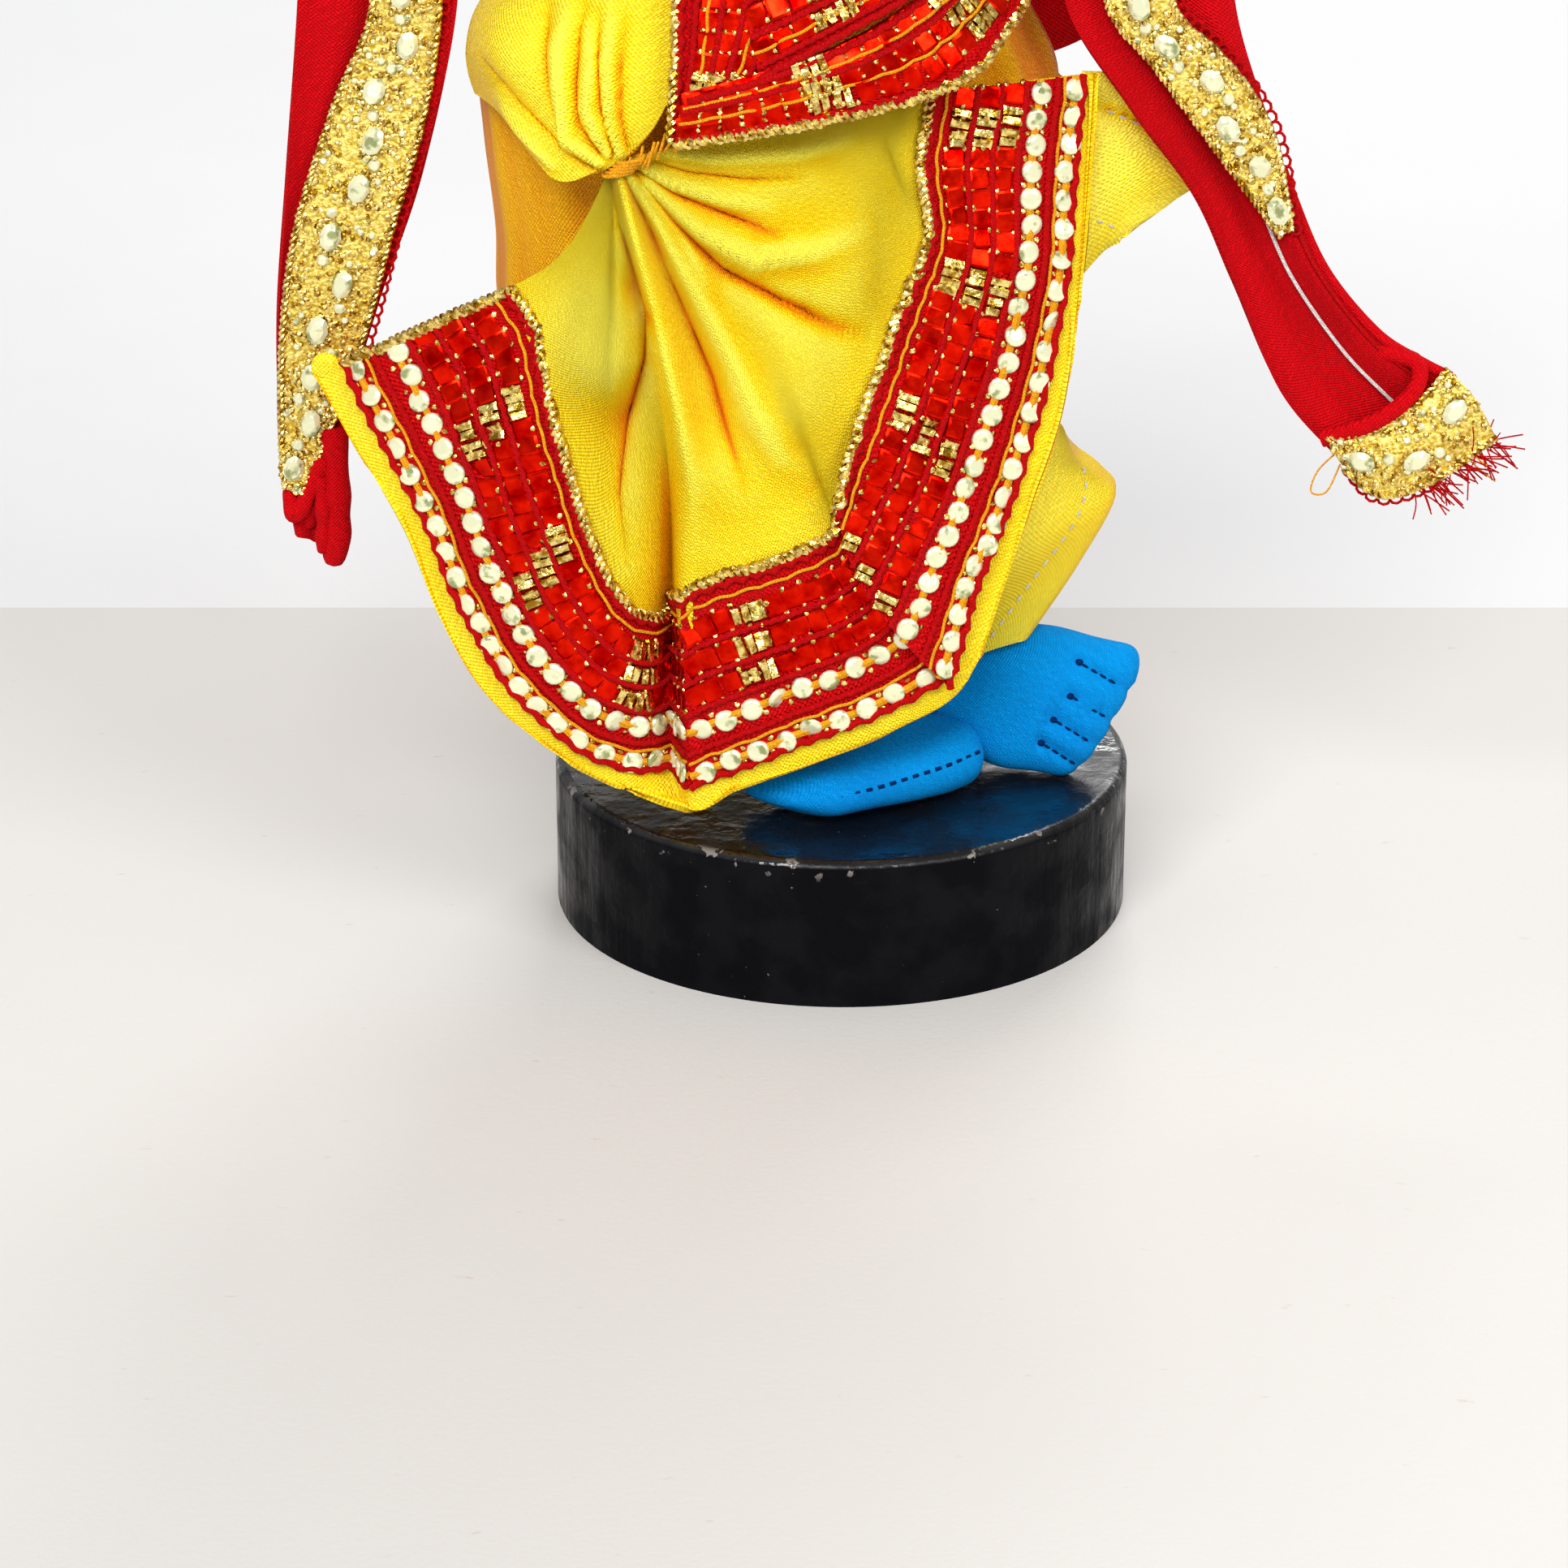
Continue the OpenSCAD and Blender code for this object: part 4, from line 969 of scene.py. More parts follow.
# Pleats of the hip, each from the knot upwards, and the fold that crosses it.
PLEATS = [
    ([(-37.5, 109.5), (-42.3, 112.5), (-42.8, 119), (-43.3, 125.5), (-41.5, 134)], 2.3, 1.6),
    ([(-43, 113), (-45, 120), (-45.6, 126), (-45, 134)], -1.9, 1.2),
    ([(-37.5, 111), (-40.6, 115), (-40.8, 121), (-40.4, 128), (-39, 134)], -1.9, 1.1),
    ([(-36, 111), (-37.8, 113.6), (-39.2, 117.5), (-38.5, 124), (-38.8, 131)], 2.1, 1.3),
    ([(-35.2, 111), (-37, 118), (-37.4, 125), (-36.8, 132)], -1.8, 0.9),
    ([(-34.5, 111), (-36, 115), (-36.3, 122), (-35.4, 134)], 1.9, 1.2),
    ([(-33, 111.5), (-34.2, 116.5), (-34.2, 124), (-33, 132)], -1.4, 1.1),
    ([(-43.5, 111.5), (-50, 116.5), (-56, 122)], -2.2, 1.2),
    ([(-44.5, 108.5), (-49, 113), (-53.5, 118)], 1.4, 1.4),
    ([(-37, 108), (-40, 109.2), (-42.5, 111)], -1.3, 0.9)]
drape("hip_pleats", [
    [(-49, -6, 135), (-46, -18, 135), (-40, -23.5, 135), (-32, -26, 135), (-22, -27, 135)],
    [(-55.5, -6, 127.5), (-51.5, -19, 128.5), (-44.5, -25.5, 127.5), (-35.5, -29, 127), (-24, -29.5, 127)],
    [(-58, -7, 121), (-52.8, -21, 122), (-44.8, -28, 120.5), (-36.8, -31.3, 120), (-26, -31.5, 121)],
    [(-58.3, -8, 117), (-51.8, -22, 117), (-44.2, -29.5, 112.5), (-37.5, -32.5, 113), (-29, -32.5, 115)],
    [(-57.5, -9, 114), (-50.5, -22.5, 113), (-44.3, -30, 106.3), (-38, -32.5, 107.8), (-33.5, -32.8, 110)]],
    (0, -1, 0), YELLOW, ("dhoti_gather",), lambda u, v: 0.3 * np.sin(9 * u + 5 * v),
    step=0.6, lines=PLEATS, swells=[((-51, 123), 1.5, 6)])

# Threads wound round the knot of the gathers, and loose stitches beside it.
tie = Piece("gather_stitches")
turn = np.linspace(0, 2 * math.pi, 20)
for k in range(5):
    middle = (-34.6 + 0.5 * k, -32.4 - 0.1 * k, 107.8 + 0.55 * k)
    tie.add(tube(circle(middle, (2.3, 0, 0.4), (0, -1.6, 0), turn), 0.3, 6), ORANGE)
for k in range(13):
    middle = arr((-34 + 0.75 * k, -33.0 - 0.08 * k, 108.6 + 0.42 * k)) + RNG.normal(0, 0.3, 3)
    lean = arr((0.8 + RNG.normal(0, 0.5), -0.2, 2.6 + RNG.normal(0, 0.6)))
    thread = smooth([middle - lean * 0.5, middle + arr((0, -0.7, 0)), middle + lean * 0.6], 6)
    tie.add(tube(thread, 0.24, 5), ORANGE)
tie.done(slot="orange_thread", nodes=("gather_tie",))


def flap_folds(u, v):
    """Ripples, and a step where the upper layer ends."""
    edge = 0.10 + 0.30 * u
    return 0.5 * np.sin(5 * u + 3 * v) - 1.2 * np.exp(-((v - edge) / 0.06)**2) + 0.8 * (v < edge)


drape("side_flap_upper", [
    [(36.5, -9, 117.5), (41, -7.5, 117), (45.5, -5.5, 114.8)],
    [(37.5, -10, 109), (45, -7, 110), (52, -4, 109)],
    [(38, -10.5, 101), (47.5, -7.5, 101.5), (57, -2.5, 100)],
    [(38, -10.5, 93), (44.5, -8.5, 95), (51.5, -4.5, 95.5)],
    [(37.5, -10.5, 85.5), (41, -9.5, 88.5), (44.5, -8, 91.3)]],
    (0.3, -1, 0), YELLOW, ("dhoti_side_flap",), flap_folds, tone=-0.16,
    stitches=[(0.2, 0.20, 0.88, 0.45), (0.05, 0.72, 0.62, 0.90)])

drape("side_flap_lower", [
    [(27, -16, 74), (31.5, -15, 68), (34.5, -12, 60), (36, -7, 57)],
    [(27.5, -16, 61), (33, -13, 57), (37, -8.5, 54), (38, -3, 54)],
    [(28, -16, 50), (35, -11.5, 51), (41, -6, 50), (42, -1, 50)],
    [(27, -16, 41), (35, -11.5, 43), (43.3, -5, 45), (44, 0, 45)],
    [(24, -15, 31), (30.5, -12, 33.5), (36.8, -7, 34), (38, -2, 34)],
    [(19.5, -14.5, 21), (24, -13, 22.5), (28.5, -11, 23.5), (30, -8, 24)]],
    (0.3, -1, 0), YELLOW, (), lambda u, v: 0.5 * np.sin(4 * u + 4 * v), tone=-0.16,
    stitches=[(0.72, 0.28, 0.20, 0.97)])


def back_folds(u, v):
    """Hanging folds that deepen towards the hem."""
    broad = 2.2 * np.sin(24 * u + 2 * v + 0.8 * np.sin(7 * u))
    return (0.3 + 0.7 * v) * (broad + 1.0 * np.sin(47 * u - 3 * v))


drape("back_drape_cloth", [
    [(34, 5, 112), (32.5, 15, 112), (14, 27.5, 112), (-14, 29, 112), (-40, 25, 112), (-48, 14, 110)],
    [(33.5, 7, 88), (31.5, 18, 88), (14, 30, 86), (-15, 32, 86), (-42, 27, 86), (-51, 13, 84)],
    [(32, 9, 66), (31, 19, 60), (14, 31, 56), (-15, 34, 54), (-45, 26, 56), (-58, 5, 60)],
    [(32.5, 10, 53), (31, 20, 42), (13, 32, 38), (-15.5, 35, 36), (-46, 26, 40), (-62, -1, 44)],
    [(33, 10, 44.5), (31, 19, 27), (12, 32, 21), (-16, 36, 21), (-46, 26, 26), (-63, -3, 33)]],
    (0, 1, 0), YELLOW, ("dhoti_back_drape",), back_folds, thick=0.9,
    stitches=[(0.01, 0.93, 0.99, 0.93), (0.035, 0.35, 0.035, 0.93)])


# ---- Sash ----

def sash_folds(a, v):
    return 0.7 * np.sin(9 * v * math.pi / 2 + 1.5 * np.sin(a)) + 0.3 * np.sin(23 * a)


SASH = arr([(134.5, -11, 2, 36, 22), (142, -10, 2, 33.5, 21), (150, -8, 1.5, 31.5, 20.5)])
cloth_ring("waist_sash_cloth", SASH, sash_folds, TAPE, 1.1, ("waist_sash",), "brocade_tape", (0.19, 0.02),
           tone=0.1)
# Red and gold cords by turns round the sash, standing a little off it.
turn = np.linspace(0, 2 * math.pi, 150)
for k, height in enumerate((136.4, 139.0, 141.6, 144.2, 146.8, 149.2)):
    half_width, half_depth = (np.interp(height, SASH[:, 0], SASH[:, i] + 0.6) for i in (3, 4))
    middle = np.interp(height, [134.5, 150], [-11, -8])
    loop = circle((middle, 2, height), (half_width, 0, 0), (0, half_depth, 0), turn)
    loop[:, 2] += 0.5 * np.sin(3 * turn)
    belt = Piece("sash_cord_%d" % k)
    for strand in twisted(loop, 0.7, 2.4) if k % 2 else [tube(loop, 0.6)]:
        belt.add(strand, GOLD if k % 2 else CORD)
    belt.done(slot="gold_lace" if k % 2 else "brocade_tape")

sash_under = Patch([
    [(-7, -21, 151), (-7.5, -26, 145), (-8, -31, 137), (-12, -33.5, 125), (-19, -34.5, 116)],
    [(-13, -21, 151), (-13.5, -26, 145), (-14, -31, 137), (-17, -33.8, 125), (-21.5, -35, 115.5)],
    [(-19, -20.5, 151), (-19.3, -25.5, 145), (-19.5, -30.5, 137), (-21, -33.8, 125), (-24, -35, 114.5)],
    [(-25.5, -19.5, 151), (-25.5, -24.5, 145), (-25.5, -29.5, 137), (-25.7, -33, 125),
     (-26.3, -34.5, 113.3)]])
tape("sash_end_upright", sash_under, mirrors=(), cords=(0.14, 0.36, 0.58, 0.80), threads=(0.25, 0.70),
     foils=(0.06, 0.25, 0.47, 0.69), scallops=(0.90,), start=6)
sash_over = Patch([
    [(-24, -35.5, 119.5), (-9, -35, 124), (5, -32.5, 130), (15, -26.5, 137), (21.5, -16, 143.5),
     (24.5, -6, 148)],
    [(-25, -36, 117.5), (-7.5, -35.8, 121.5), (8.5, -33.3, 127), (18.5, -26, 133.5), (25, -15.5, 140),
     (27.5, -5.5, 144.5)],
    [(-26, -36, 113.4), (-5.3, -36.3, 116.7), (16.5, -32, 121.8), (24.5, -24.5, 129), (29, -15, 135),
     (31, -5, 139.5)]])
tape("sash_end_band", sash_over, ("sash_tail",), mirrors=(), cords=(0.40,), threads=(0.30, 0.62),
     foils=(0.16, 0.52, 0.74), scallops=(0.0, 0.90), start=2)
sash_cross = Patch([
    [(-16, -26.5, 143), (-6, -26.5, 146), (6, -23.5, 149), (15, -17, 151)],
    [(-15, -33, 132), (-4, -33, 137), (9, -29.5, 142), (20, -18.5, 147)],
    [(-13, -35, 123), (-2, -34.5, 129), (11, -31, 136), (22, -19.5, 143.5)]])
tape("sash_end_fold", sash_cross, ("sash_fold",), mirrors=(), cords=(0.2, 0.42, 0.64, 0.86),
     threads=(0.31, 0.75), foils=(0.1, 0.31, 0.53, 0.75), scallops=(0.97,), gold_edge=None, start=5)


# ---- Stole ----

def lace_on(piece, patch, pitch=7.6):
    """Gold lace: a coiled ground, twisted edges and a row of faceted stones between small ones."""
    ground(piece, patch, 70, 8, 0.2, LACE)
    count = int(patch.length * patch.width * 0.55)
    u, v = RNG.uniform(0, 1, count), RNG.uniform(0.06, 0.94, count)
    piece.add(stamp(NUGGET, *tilted(patch, u, v, 0.4, 30), 0.85), GOLD)
    for v in (0.03, 0.97):
        for strand in twisted(line_on(patch, v, 0.6, 1.5, 0.3, 4.0), 0.6, 2.2):
            piece.add(strand, GOLD)
    u = spread(patch, pitch)
    spots, along, across, normal = tilted(patch, u, 0.5 + 0.10 * np.sin(2.4 * np.arange(len(u))), 0.75, 10)
    piece.add(stamp(STONE, spots, along * 1.35, across, normal, 1.75), MIRROR)
    for turn in np.linspace(0, 2 * math.pi, 12, endpoint=False):
        petals = spots + 2.7 * math.cos(turn) * along + 2.1 * math.sin(turn) * across
        piece.add(stamp(NUGGET, petals, along, across, normal, 0.7), GOLD)
    between = u[:-1] + np.diff(u) / 2
    sway = 0.5 + RNG.uniform(-0.15, 0.15, len(between))
    piece.add(stamp(STONE, *tilted(patch, between, sway, 0.65, 14), 1.05), MIRROR)
    small_u, small_v = RNG.uniform(0, 1, 4 * len(u)), RNG.uniform(0.15, 0.85, 4 * len(u))
    piece.add(stamp(STONE, *tilted(patch, small_u, small_v, 0.7, 18), 0.6), MIRROR)


def crochet_edge(piece, path, out):
    """A row of small thread loops along an edge, standing out towards out."""
    size = 1.6
    path = even(path, size * 1.15)
    t = unit(np.gradient(path, axis=0))
    out = unit(arr(out) - (t @ arr(out))[:, None] * t)
    turn = np.linspace(0, 2 * math.pi, 9)
    for p, a, b in zip(path, t, out):
        loop = circle(p + b * size * 0.5, 0.62 * size * a, 0.527 * size * b, turn)
        piece.add(tube(loop, 0.26, 5, ref=np.cross(a, b)), CORD)


def frayed(piece, spots, way, length, material, n):
    """Loose threads that stick out of a torn edge."""
    path = even(spots, 0.5)
    for k in range(n):
        p = path[int(RNG.integers(len(path)))]
        d = unit(arr(way) + RNG.normal(0, 0.55, 3))
        bend = RNG.normal(0, 0.3, 3)
        reach = length * RNG.uniform(0.4, 1.0)
        thread = smooth([p - d, p + d * reach * 0.5 + bend, p + d * reach + 3 * bend], 7)
        piece.add(tube(thread, 0.13, 4), material)


STONE = cap([(0.97, 0), (1.0, 0.25), (0.62, 0.62), (0.58, 0.64)], 8)
LACE = metal("gold_lace_ground", (1.0, 0.84, 0.24), (0.62, 0.40, 0.03), rough=0.42, scale=1.5, depth=0.35,
             spread=0.1)


def folds(count, depth):
    """Folds along a hanging cloth, count of them across it."""
    def ripple(u, v):
        broad = np.sin(math.pi * count * v + 1.4 * np.sin(3 * u))
        return depth * (broad + 0.4 * np.sin(2.7 * count * math.pi * v + 5 * u))
    return ripple


def hang_tail(side, cloth, trim, grid):
    """A tail of the stole and its trimmings, with their places baked into their meshes and no body to move
    with.
    """
    made = [cloth.done(body=None, slot="red_cotton", nodes=(side + "_stole_tail",)),
            trim.done(body=None, slot="gold_lace", nodes=(side + "_stole_lace",))]
    for obj in made:
        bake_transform(obj)
    declare_sheet(grid)


def hanging(y, *spots):
    """A row of (x, height) spots at one depth y."""
    return [(x, y, z) for x, z in spots]


# The right tail hangs plainly, with the lace down to its end and a red point below it.
right_tail = Patch([
    hanging(-9.5, (-79, 176), (-83, 152), (-84.4, 128), (-87, 102), (-89.5, 78), (-90, 58), (-88, 42)),
    [(-70, -10.5, 176), (-72, -10.2, 152), (-73, -10, 128), (-78, -10, 102), (-82.5, -10, 80),
     (-84.8, -10, 60), (-84.5, -10, 40)],
    hanging(-9.5, (-63, 176), (-60, 152), (-60, 128), (-66, 102), (-74, 80), (-79, 62), (-80, 39))],
    step=1.0, ripple=folds(2.2, 1.0))
cloth = Piece("stole_tail_right").slab(right_tail.grid, 1.0, RED, (0, -1, 0), tone=0.12)
piece = Piece("stole_trim_right")
lace_right = Patch([
    hanging(-11.8, (-75, 174), (-73.5, 152), (-73, 129), (-79.5, 113), (-86, 94), (-89, 76), (-89.8, 58),
            (-89.4, 50)),
    hanging(-11.8, (-64, 174), (-61.5, 152), (-62.5, 128), (-65.3, 111), (-70.5, 94), (-76, 75), (-83, 57),
            (-86.8, 49))],
    step=1.2, ripple=lambda u, v: 0.5 * np.sin(13 * u))
lace_on(piece, lace_right)
crochet_edge(piece, lace_right.lay(np.linspace(0, 0.93, 60), 1.0, 0.0)[0], (1, 0, 0))
s = np.linspace(0, 1, 24)
rounding = np.sqrt(np.clip(1 - np.clip((s - 0.8) / 0.2, 0, 0.99)**2, 0.02, 1))
for lobe, radius in (
        ([(-81.5, -10.5, 60), (-81.3, -11, 50), (-81.4, -11.3, 43), (-82.2, -11, 36.5)], 2.3),
        ([(-84.6, -9.5, 58), (-85.2, -10, 50), (-86, -10, 42.5)], 1.7),
        ([(-83.6, -12, 52), (-83.4, -12.6, 45), (-83.8, -12.2, 39)], 1.2),
        ([(-83, -11.4, 55), (-86.5, -12.2, 47.5), (-88, -12.0, 45.5), (-89, -11.4, 50)], 1.4)):
    piece.add(tube(smooth(lobe, 24), radius * rounding + 0.15 * np.sin(20 * s), 14), RED)
hang_tail("right", cloth, piece, right_tail.grid)

# The left tail swings out to the side, turns over, and ends in its gold border.
left_tail = Patch([
    hanging(-11.5, (43, 168), (35.5, 150), (33.5, 130), (44, 113), (54.5, 99), (61, 85), (69, 67),
            (78.5, 56), (84, 51)),
    hanging(-12, (49, 168), (46.5, 150), (46.5, 130), (55, 112), (62.5, 99), (68.5, 86), (77, 73),
            (84.5, 64.5), (90, 59)),
    hanging(-11.5, (54, 167), (58.5, 150), (59.5, 129), (65.5, 110), (69.8, 98), (75.5, 86), (84, 76),
            (91, 71.5), (96, 69))],
    step=1.0, ripple=folds(2.6, 1.1))
cloth = Piece("stole_tail_left").slab(left_tail.grid, 1.0, RED, (0, -1, 0), tone=0.12)
piece = Piece("stole_trim_left")
lace_left = Patch([
    hanging(-14, (45.5, 164), (40.5, 147), (39.5, 130), (47.2, 119.5), (54, 110.5), (60.5, 102),
            (68, 92.5)),
    hanging(-14, (53.5, 164), (51, 147), (50, 130), (57.2, 122), (62.6, 115.5), (66.8, 107), (69.6, 93.5))],
    step=1.2)
lace_on(piece, lace_left)
crochet_edge(piece, lace_left.lay(np.linspace(0, 1, 50), 1.0, 0.0)[0], (1, 0, 0.2))
for v, lo, hi, material in ((0.60, 0.55, 0.97, WHITE), (0.84, 0.58, 0.98, CORD)):
    piece.add(tube(line_on(left_tail, v, 0.75, 1.5, lo=lo, hi=hi), 0.3, 6), material)
piece.add(tube(line_on(left_tail, 1.0, 0.2, 1.5, lo=0.55, hi=1.0), 0.9, 8), RED)
end_border = Patch([
    [(76.5, -14.6, 59.5), (84, -15.5, 61.5), (90.5, -15, 66), (95, -14.2, 71)],
    [(78, -15, 57), (87, -16.4, 56), (95, -16, 60.5), (99.5, -14.8, 66.5)],
    [(80, -14.6, 54.8), (85.5, -15.6, 50.2), (94, -15.4, 52.8), (103.5, -14.4, 59.5)]], step=1.0)
lace_on(piece, end_border, 7.0)
piece.add(tube(smooth([(76, -14, 59), (84, -16, 62.5), (90, -15.6, 67.5), (90.5, -13.5, 71.5),
                       (84.5, -12, 73)], 24), 1.4, 8), RED)
edge = end_border.lay(np.linspace(0.05, 1, 40), 1.0, 0.0)[0]
crochet_edge(piece, edge[:26], (0.6, 0, -1))
frayed(piece, edge[22:], (0.9, -0.2, -0.6), 6.5, CORD, 70)
frayed(piece, edge[26:36], (0.5, -0.2, -1), 6, ORANGE, 5)
piece.add(tube(smooth([(78.5, -14.4, 57), (75.5, -14.8, 54), (74.5, -15, 50.5), (77, -15, 50.5),
                       (79, -14.6, 55)], 20), 0.16, 5), ORANGE)
hang_tail("left", cloth, piece, left_tail.grid)


def swag_folds(u, v):
    """Folds along the swag, which fade at its two ends."""
    return 1.3 * np.sin(3.3 * math.pi * v + 1.5 * np.sin(4 * u)) * np.sin(math.pi * np.clip(u, 0.02, 0.98))


upper = arr([(-60, 7, 184), (-58, 17, 176), (-48, 27, 163), (-28, 34, 152), (-4, 35.5, 147), (22, 34, 149),
             (36, 24, 158), (34, 8, 166), (33, -3, 169)])
lower = arr([(-76, 6, 175), (-74, 17, 160), (-60, 27, 138), (-34, 34, 119), (-4, 35.5, 111), (26, 34, 108),
             (46, 25, 120), (42, 8, 145), (38, -12, 163)])
swag = drape("stole_back_cloth", [upper, (upper + lower) / 2, lower], (0, 1, 0), RED, ("stole_back",),
             swag_folds, thick=1.0, slot="red_cotton",
             tone=0.14, depth_tone=0.08)
back_lace = Piece("stole_back_lace")
strip = [swag.lay(np.linspace(0.04, 0.96, 30), v, 0.9)[0] for v in (0.62, 0.8, 0.97)]
lace_on(back_lace, Patch(strip, (0, 1, 0)))
back_lace.done(slot="gold_lace")


# ---- Stuffed body ----

def limb(name, spots, nodes, body="root", bend=None, n=70):
    """A stuffed limb through (x, y, height, radius) spots, with rounded ends."""
    path = smooth(spots, n)
    s = np.linspace(0, 1, n)
    ends = np.sqrt(np.clip(1 - (1 - np.minimum(1, np.minimum(s, 1 - s) / 0.05))**2, 0.02, 1))
    lumps = 0.18 * np.sin(23 * s) + 0.12 * np.sin(41 * s + 1)
    radius = path[:, 3] * ends + lumps
    piece = Piece(name).add(tube(path[:, :3], radius, 28, ref=(0.1, -1, 0.15)), BLUE)
    seam = tube(path[4:-4, :3], path[4:-4, 3], 4, ref=(0.1, -1, 0.15))[0].reshape(-1, 4, 3)[:, 2]
    running_stitch(piece, seam, NAVY, 2.6, 1.4, 0.2)
    obj = piece.done(body=None if bend else body, slot="blue_cotton", nodes=nodes)
    if bend:
        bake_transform(obj)


limb("right_leg_cloth", [(-28, -1, 76, 12.5), (-24, -5, 66, 12.6), (-16, -13, 50, 10.5), (-4, -13, 34, 8.2),
                         (7, -12.5, 21, 6.2), (9, -12, 17, 6)], ("right_leg",))
limb("left_leg_cloth", [(2, 3, 76, 12.5), (5, 3.5, 65, 12.4), (10, 4, 50, 10.5), (16, 2.5, 35, 8.2),
                        (21, 0.5, 23, 6.2), (22, 0, 20, 6)], ("left_leg",))
stuffed("pelvis_cloth", [(84, -14, 1, 26, 14), (86, -14, 1, 29, 16.5), (104, -13, 1, 33, 18.5),
                         (122, -12, 2, 32.5, 18), (124, -12, 2, 31, 17)], "pelvis")


def chest(a, v):
    """The chest and back swell a little below the shoulders."""
    swell = 1.1 * np.exp(-((v - 0.66) / 0.14)**2) * np.abs(np.sin(a)) * (np.cos(a)**2) * 2
    return swell + 0.15 * np.sin(7 * a + 9 * v)


stuffed("torso_cloth", [(124.4, -12, 2, 32, 18), (136, -11, 2, 28, 16.5), (150, -8, 1.5, 26, 16),
                        (165, -6, 1, 29, 17.5), (180, -5, 1, 32, 18.5), (190, -4, 1, 31, 17),
                        (197, -4, 1, 21, 13), (201, -4, 1, 9, 8)], "torso", 70, chest, seam_column=16)
stuffed("neck_cloth", [(201.2, -4, 1, 8.6, 8.2), (203.5, -4, 0.8, 7.8, 7.6), (206.5, -4, 0.4, 7.8, 7.6),
                       (208.7, -4, 0, 8.4, 8.2)], "neck", 20, lambda a, v: 0.25 * np.sin(6 * np.pi * v))


def along(a, b, s, r):
    """A limb spot at distance s from a towards b."""
    return (*(arr(a) + unit(arr(b) - arr(a)) * s), r)


# Each arm: shoulder, elbow, grip, and where the stole's wrap starts and ends above the elbow.
ARMS = {"right": ((-42, 1, 191), (-82, -8, 178), (-62, -30, 218), 11.5, 24),
        "left": ((34, 1, 191), (48, -26, 170), (2, -34, 207), 9, 21)}
IN_SHOULDER = ((17, 186, 5.6), (26, 188, 7.2), (33.5, 189.8, 7.9))
for side, (shoulder, elbow, grip, low, high) in ARMS.items():
    reach, upper = (float(np.linalg.norm(arr(end) - arr(elbow))) for end in (grip, shoulder))
    outward = 1 if side == "left" else -1
    spots = [(-4 + outward * x, 1, z, r) for x, z, r in IN_SHOULDER]
    spots += [along(elbow, shoulder, s, r) for s, r in ((upper - 5, 7.7), (20, 6.9), (12, 5.8), (4.8, 4.7))]
    spots += [(*elbow, 4.3)]
    spots += [along(elbow, grip, s, r) for s, r in (
        (4.8, 4.5), (12, 5.2), (20, 6.2), (reach - 24, 5.2), (reach - 17, 4.4))]
    bend = [arr(along(elbow, end, 6, 0)[:3]) for end in (shoulder, grip)]
    limb(side + "_arm_cloth", spots, (side + "_upper_arm", side + "_forearm"), side + "_forearm", bend,
         n=110)
    direction = unit(arr(shoulder) - arr(elbow))
    up = unit(arr((0, 0, 1)) - direction * direction[2])
    over = np.cross(direction, up)
    turn = np.radians(np.linspace(108, -108, 13))
    table = []
    for s in np.linspace(low, high, 5):
        radius = np.interp(s, [4.8, 12, 20, 30], [6.0, 6.6, 7.4, 8]) + 1.2
        table.append(circle(arr(elbow) + direction * s, radius * up, radius * over, turn))
    drape(side + "_stole_wrap_cloth", table, up, RED, (side + "_stole_wrap",),
          lambda u, v: 0.5 + 0.5 * np.sin(5.2 * math.pi * v + 1.2 * np.sin(5 * u)),
          thick=1.0, slot="red_cotton", tone=0.14, depth_tone=0.1, step=0.9)


def hand(side, palm, fingers, thumb):
    piece = Piece(side + "_hand_cloth")
    for shape in palm:
        piece.add(blob(*shape), BLUE)
    s = np.linspace(0, 1, 22)
    taper = (1 - 0.16 * s) * np.sqrt(np.clip(1 - np.clip((s - 0.86) / 0.14, 0, 0.98)**2, 0.03, 1))
    for path, radius in [(finger, 2.15) for finger in fingers] + [(thumb, 2.4)]:
        piece.add(tube(smooth(path, 22), radius * taper, 14, ref=(1, 0.1, 0.1)), BLUE)
    obj = piece.done(side + "_forearm", "blue_cotton", (side + "_hand",))


# The right hand closes round the flute.
elbow, grip = arr(ARMS["right"][1]), arr(ARMS["right"][2])
fore = unit(grip - elbow)
deep = np.cross((1, 0, 0), fore)
curl = [(1.5, -1.25), (1.12, -0.2), (0.9, 0.62), (0.15, 1.12), (-0.72, 0.86), (-1.05, 0.25)]
hand("right",
     [(grip - fore * 8.2, (6.6, 0.5, 0), deep * 3.9, fore * 6.2),
      (grip - fore * 14, (4.6, 0, 0), deep * 4.0, fore * 5.5)],
     [[grip + arr((x, 5.3 * y, 5.3 * z)) for y, z in curl] for x in (-5.6, -1.8, 2.0, 5.6)],
     [grip + arr(step) for step in ((4.5, 1, -9), (6.0, -3.6, -7), (5.0, -6.2, -3.6), (2.5, -6.4, -0.5))])

# The left hand is open, with its fingertips turned up.
elbow, palm = arr(ARMS["left"][1]), arr(ARMS["left"][2])
fore = unit(palm - elbow)
deep = np.cross((0, 1, 0), fore)
hand("left",
     [(palm - fore * 2.5, (0, 5.6, 0), deep * 3.6, fore * 8),
      (palm - fore * 11, (0, 4.4, 0), deep * 4.0, fore * 6)],
     [[palm + arr(step) for step in ((-3.0, y * 0.8, 2.0), (-8.0, y, 3.4), (-12.4, y * 1.05, 6.2),
                                     (-13.4, y * 1.05, 9.0))] for y in (-4.7, -1.6, 1.5, 4.4)],
     [palm + arr(step) for step in ((2.5, -4.4, 0), (-0.5, -6.4, 2.6), (-4.0, -6.6, 5.4),
                                    (-6.2, -5.8, 7.2))])


# ---- Head ----

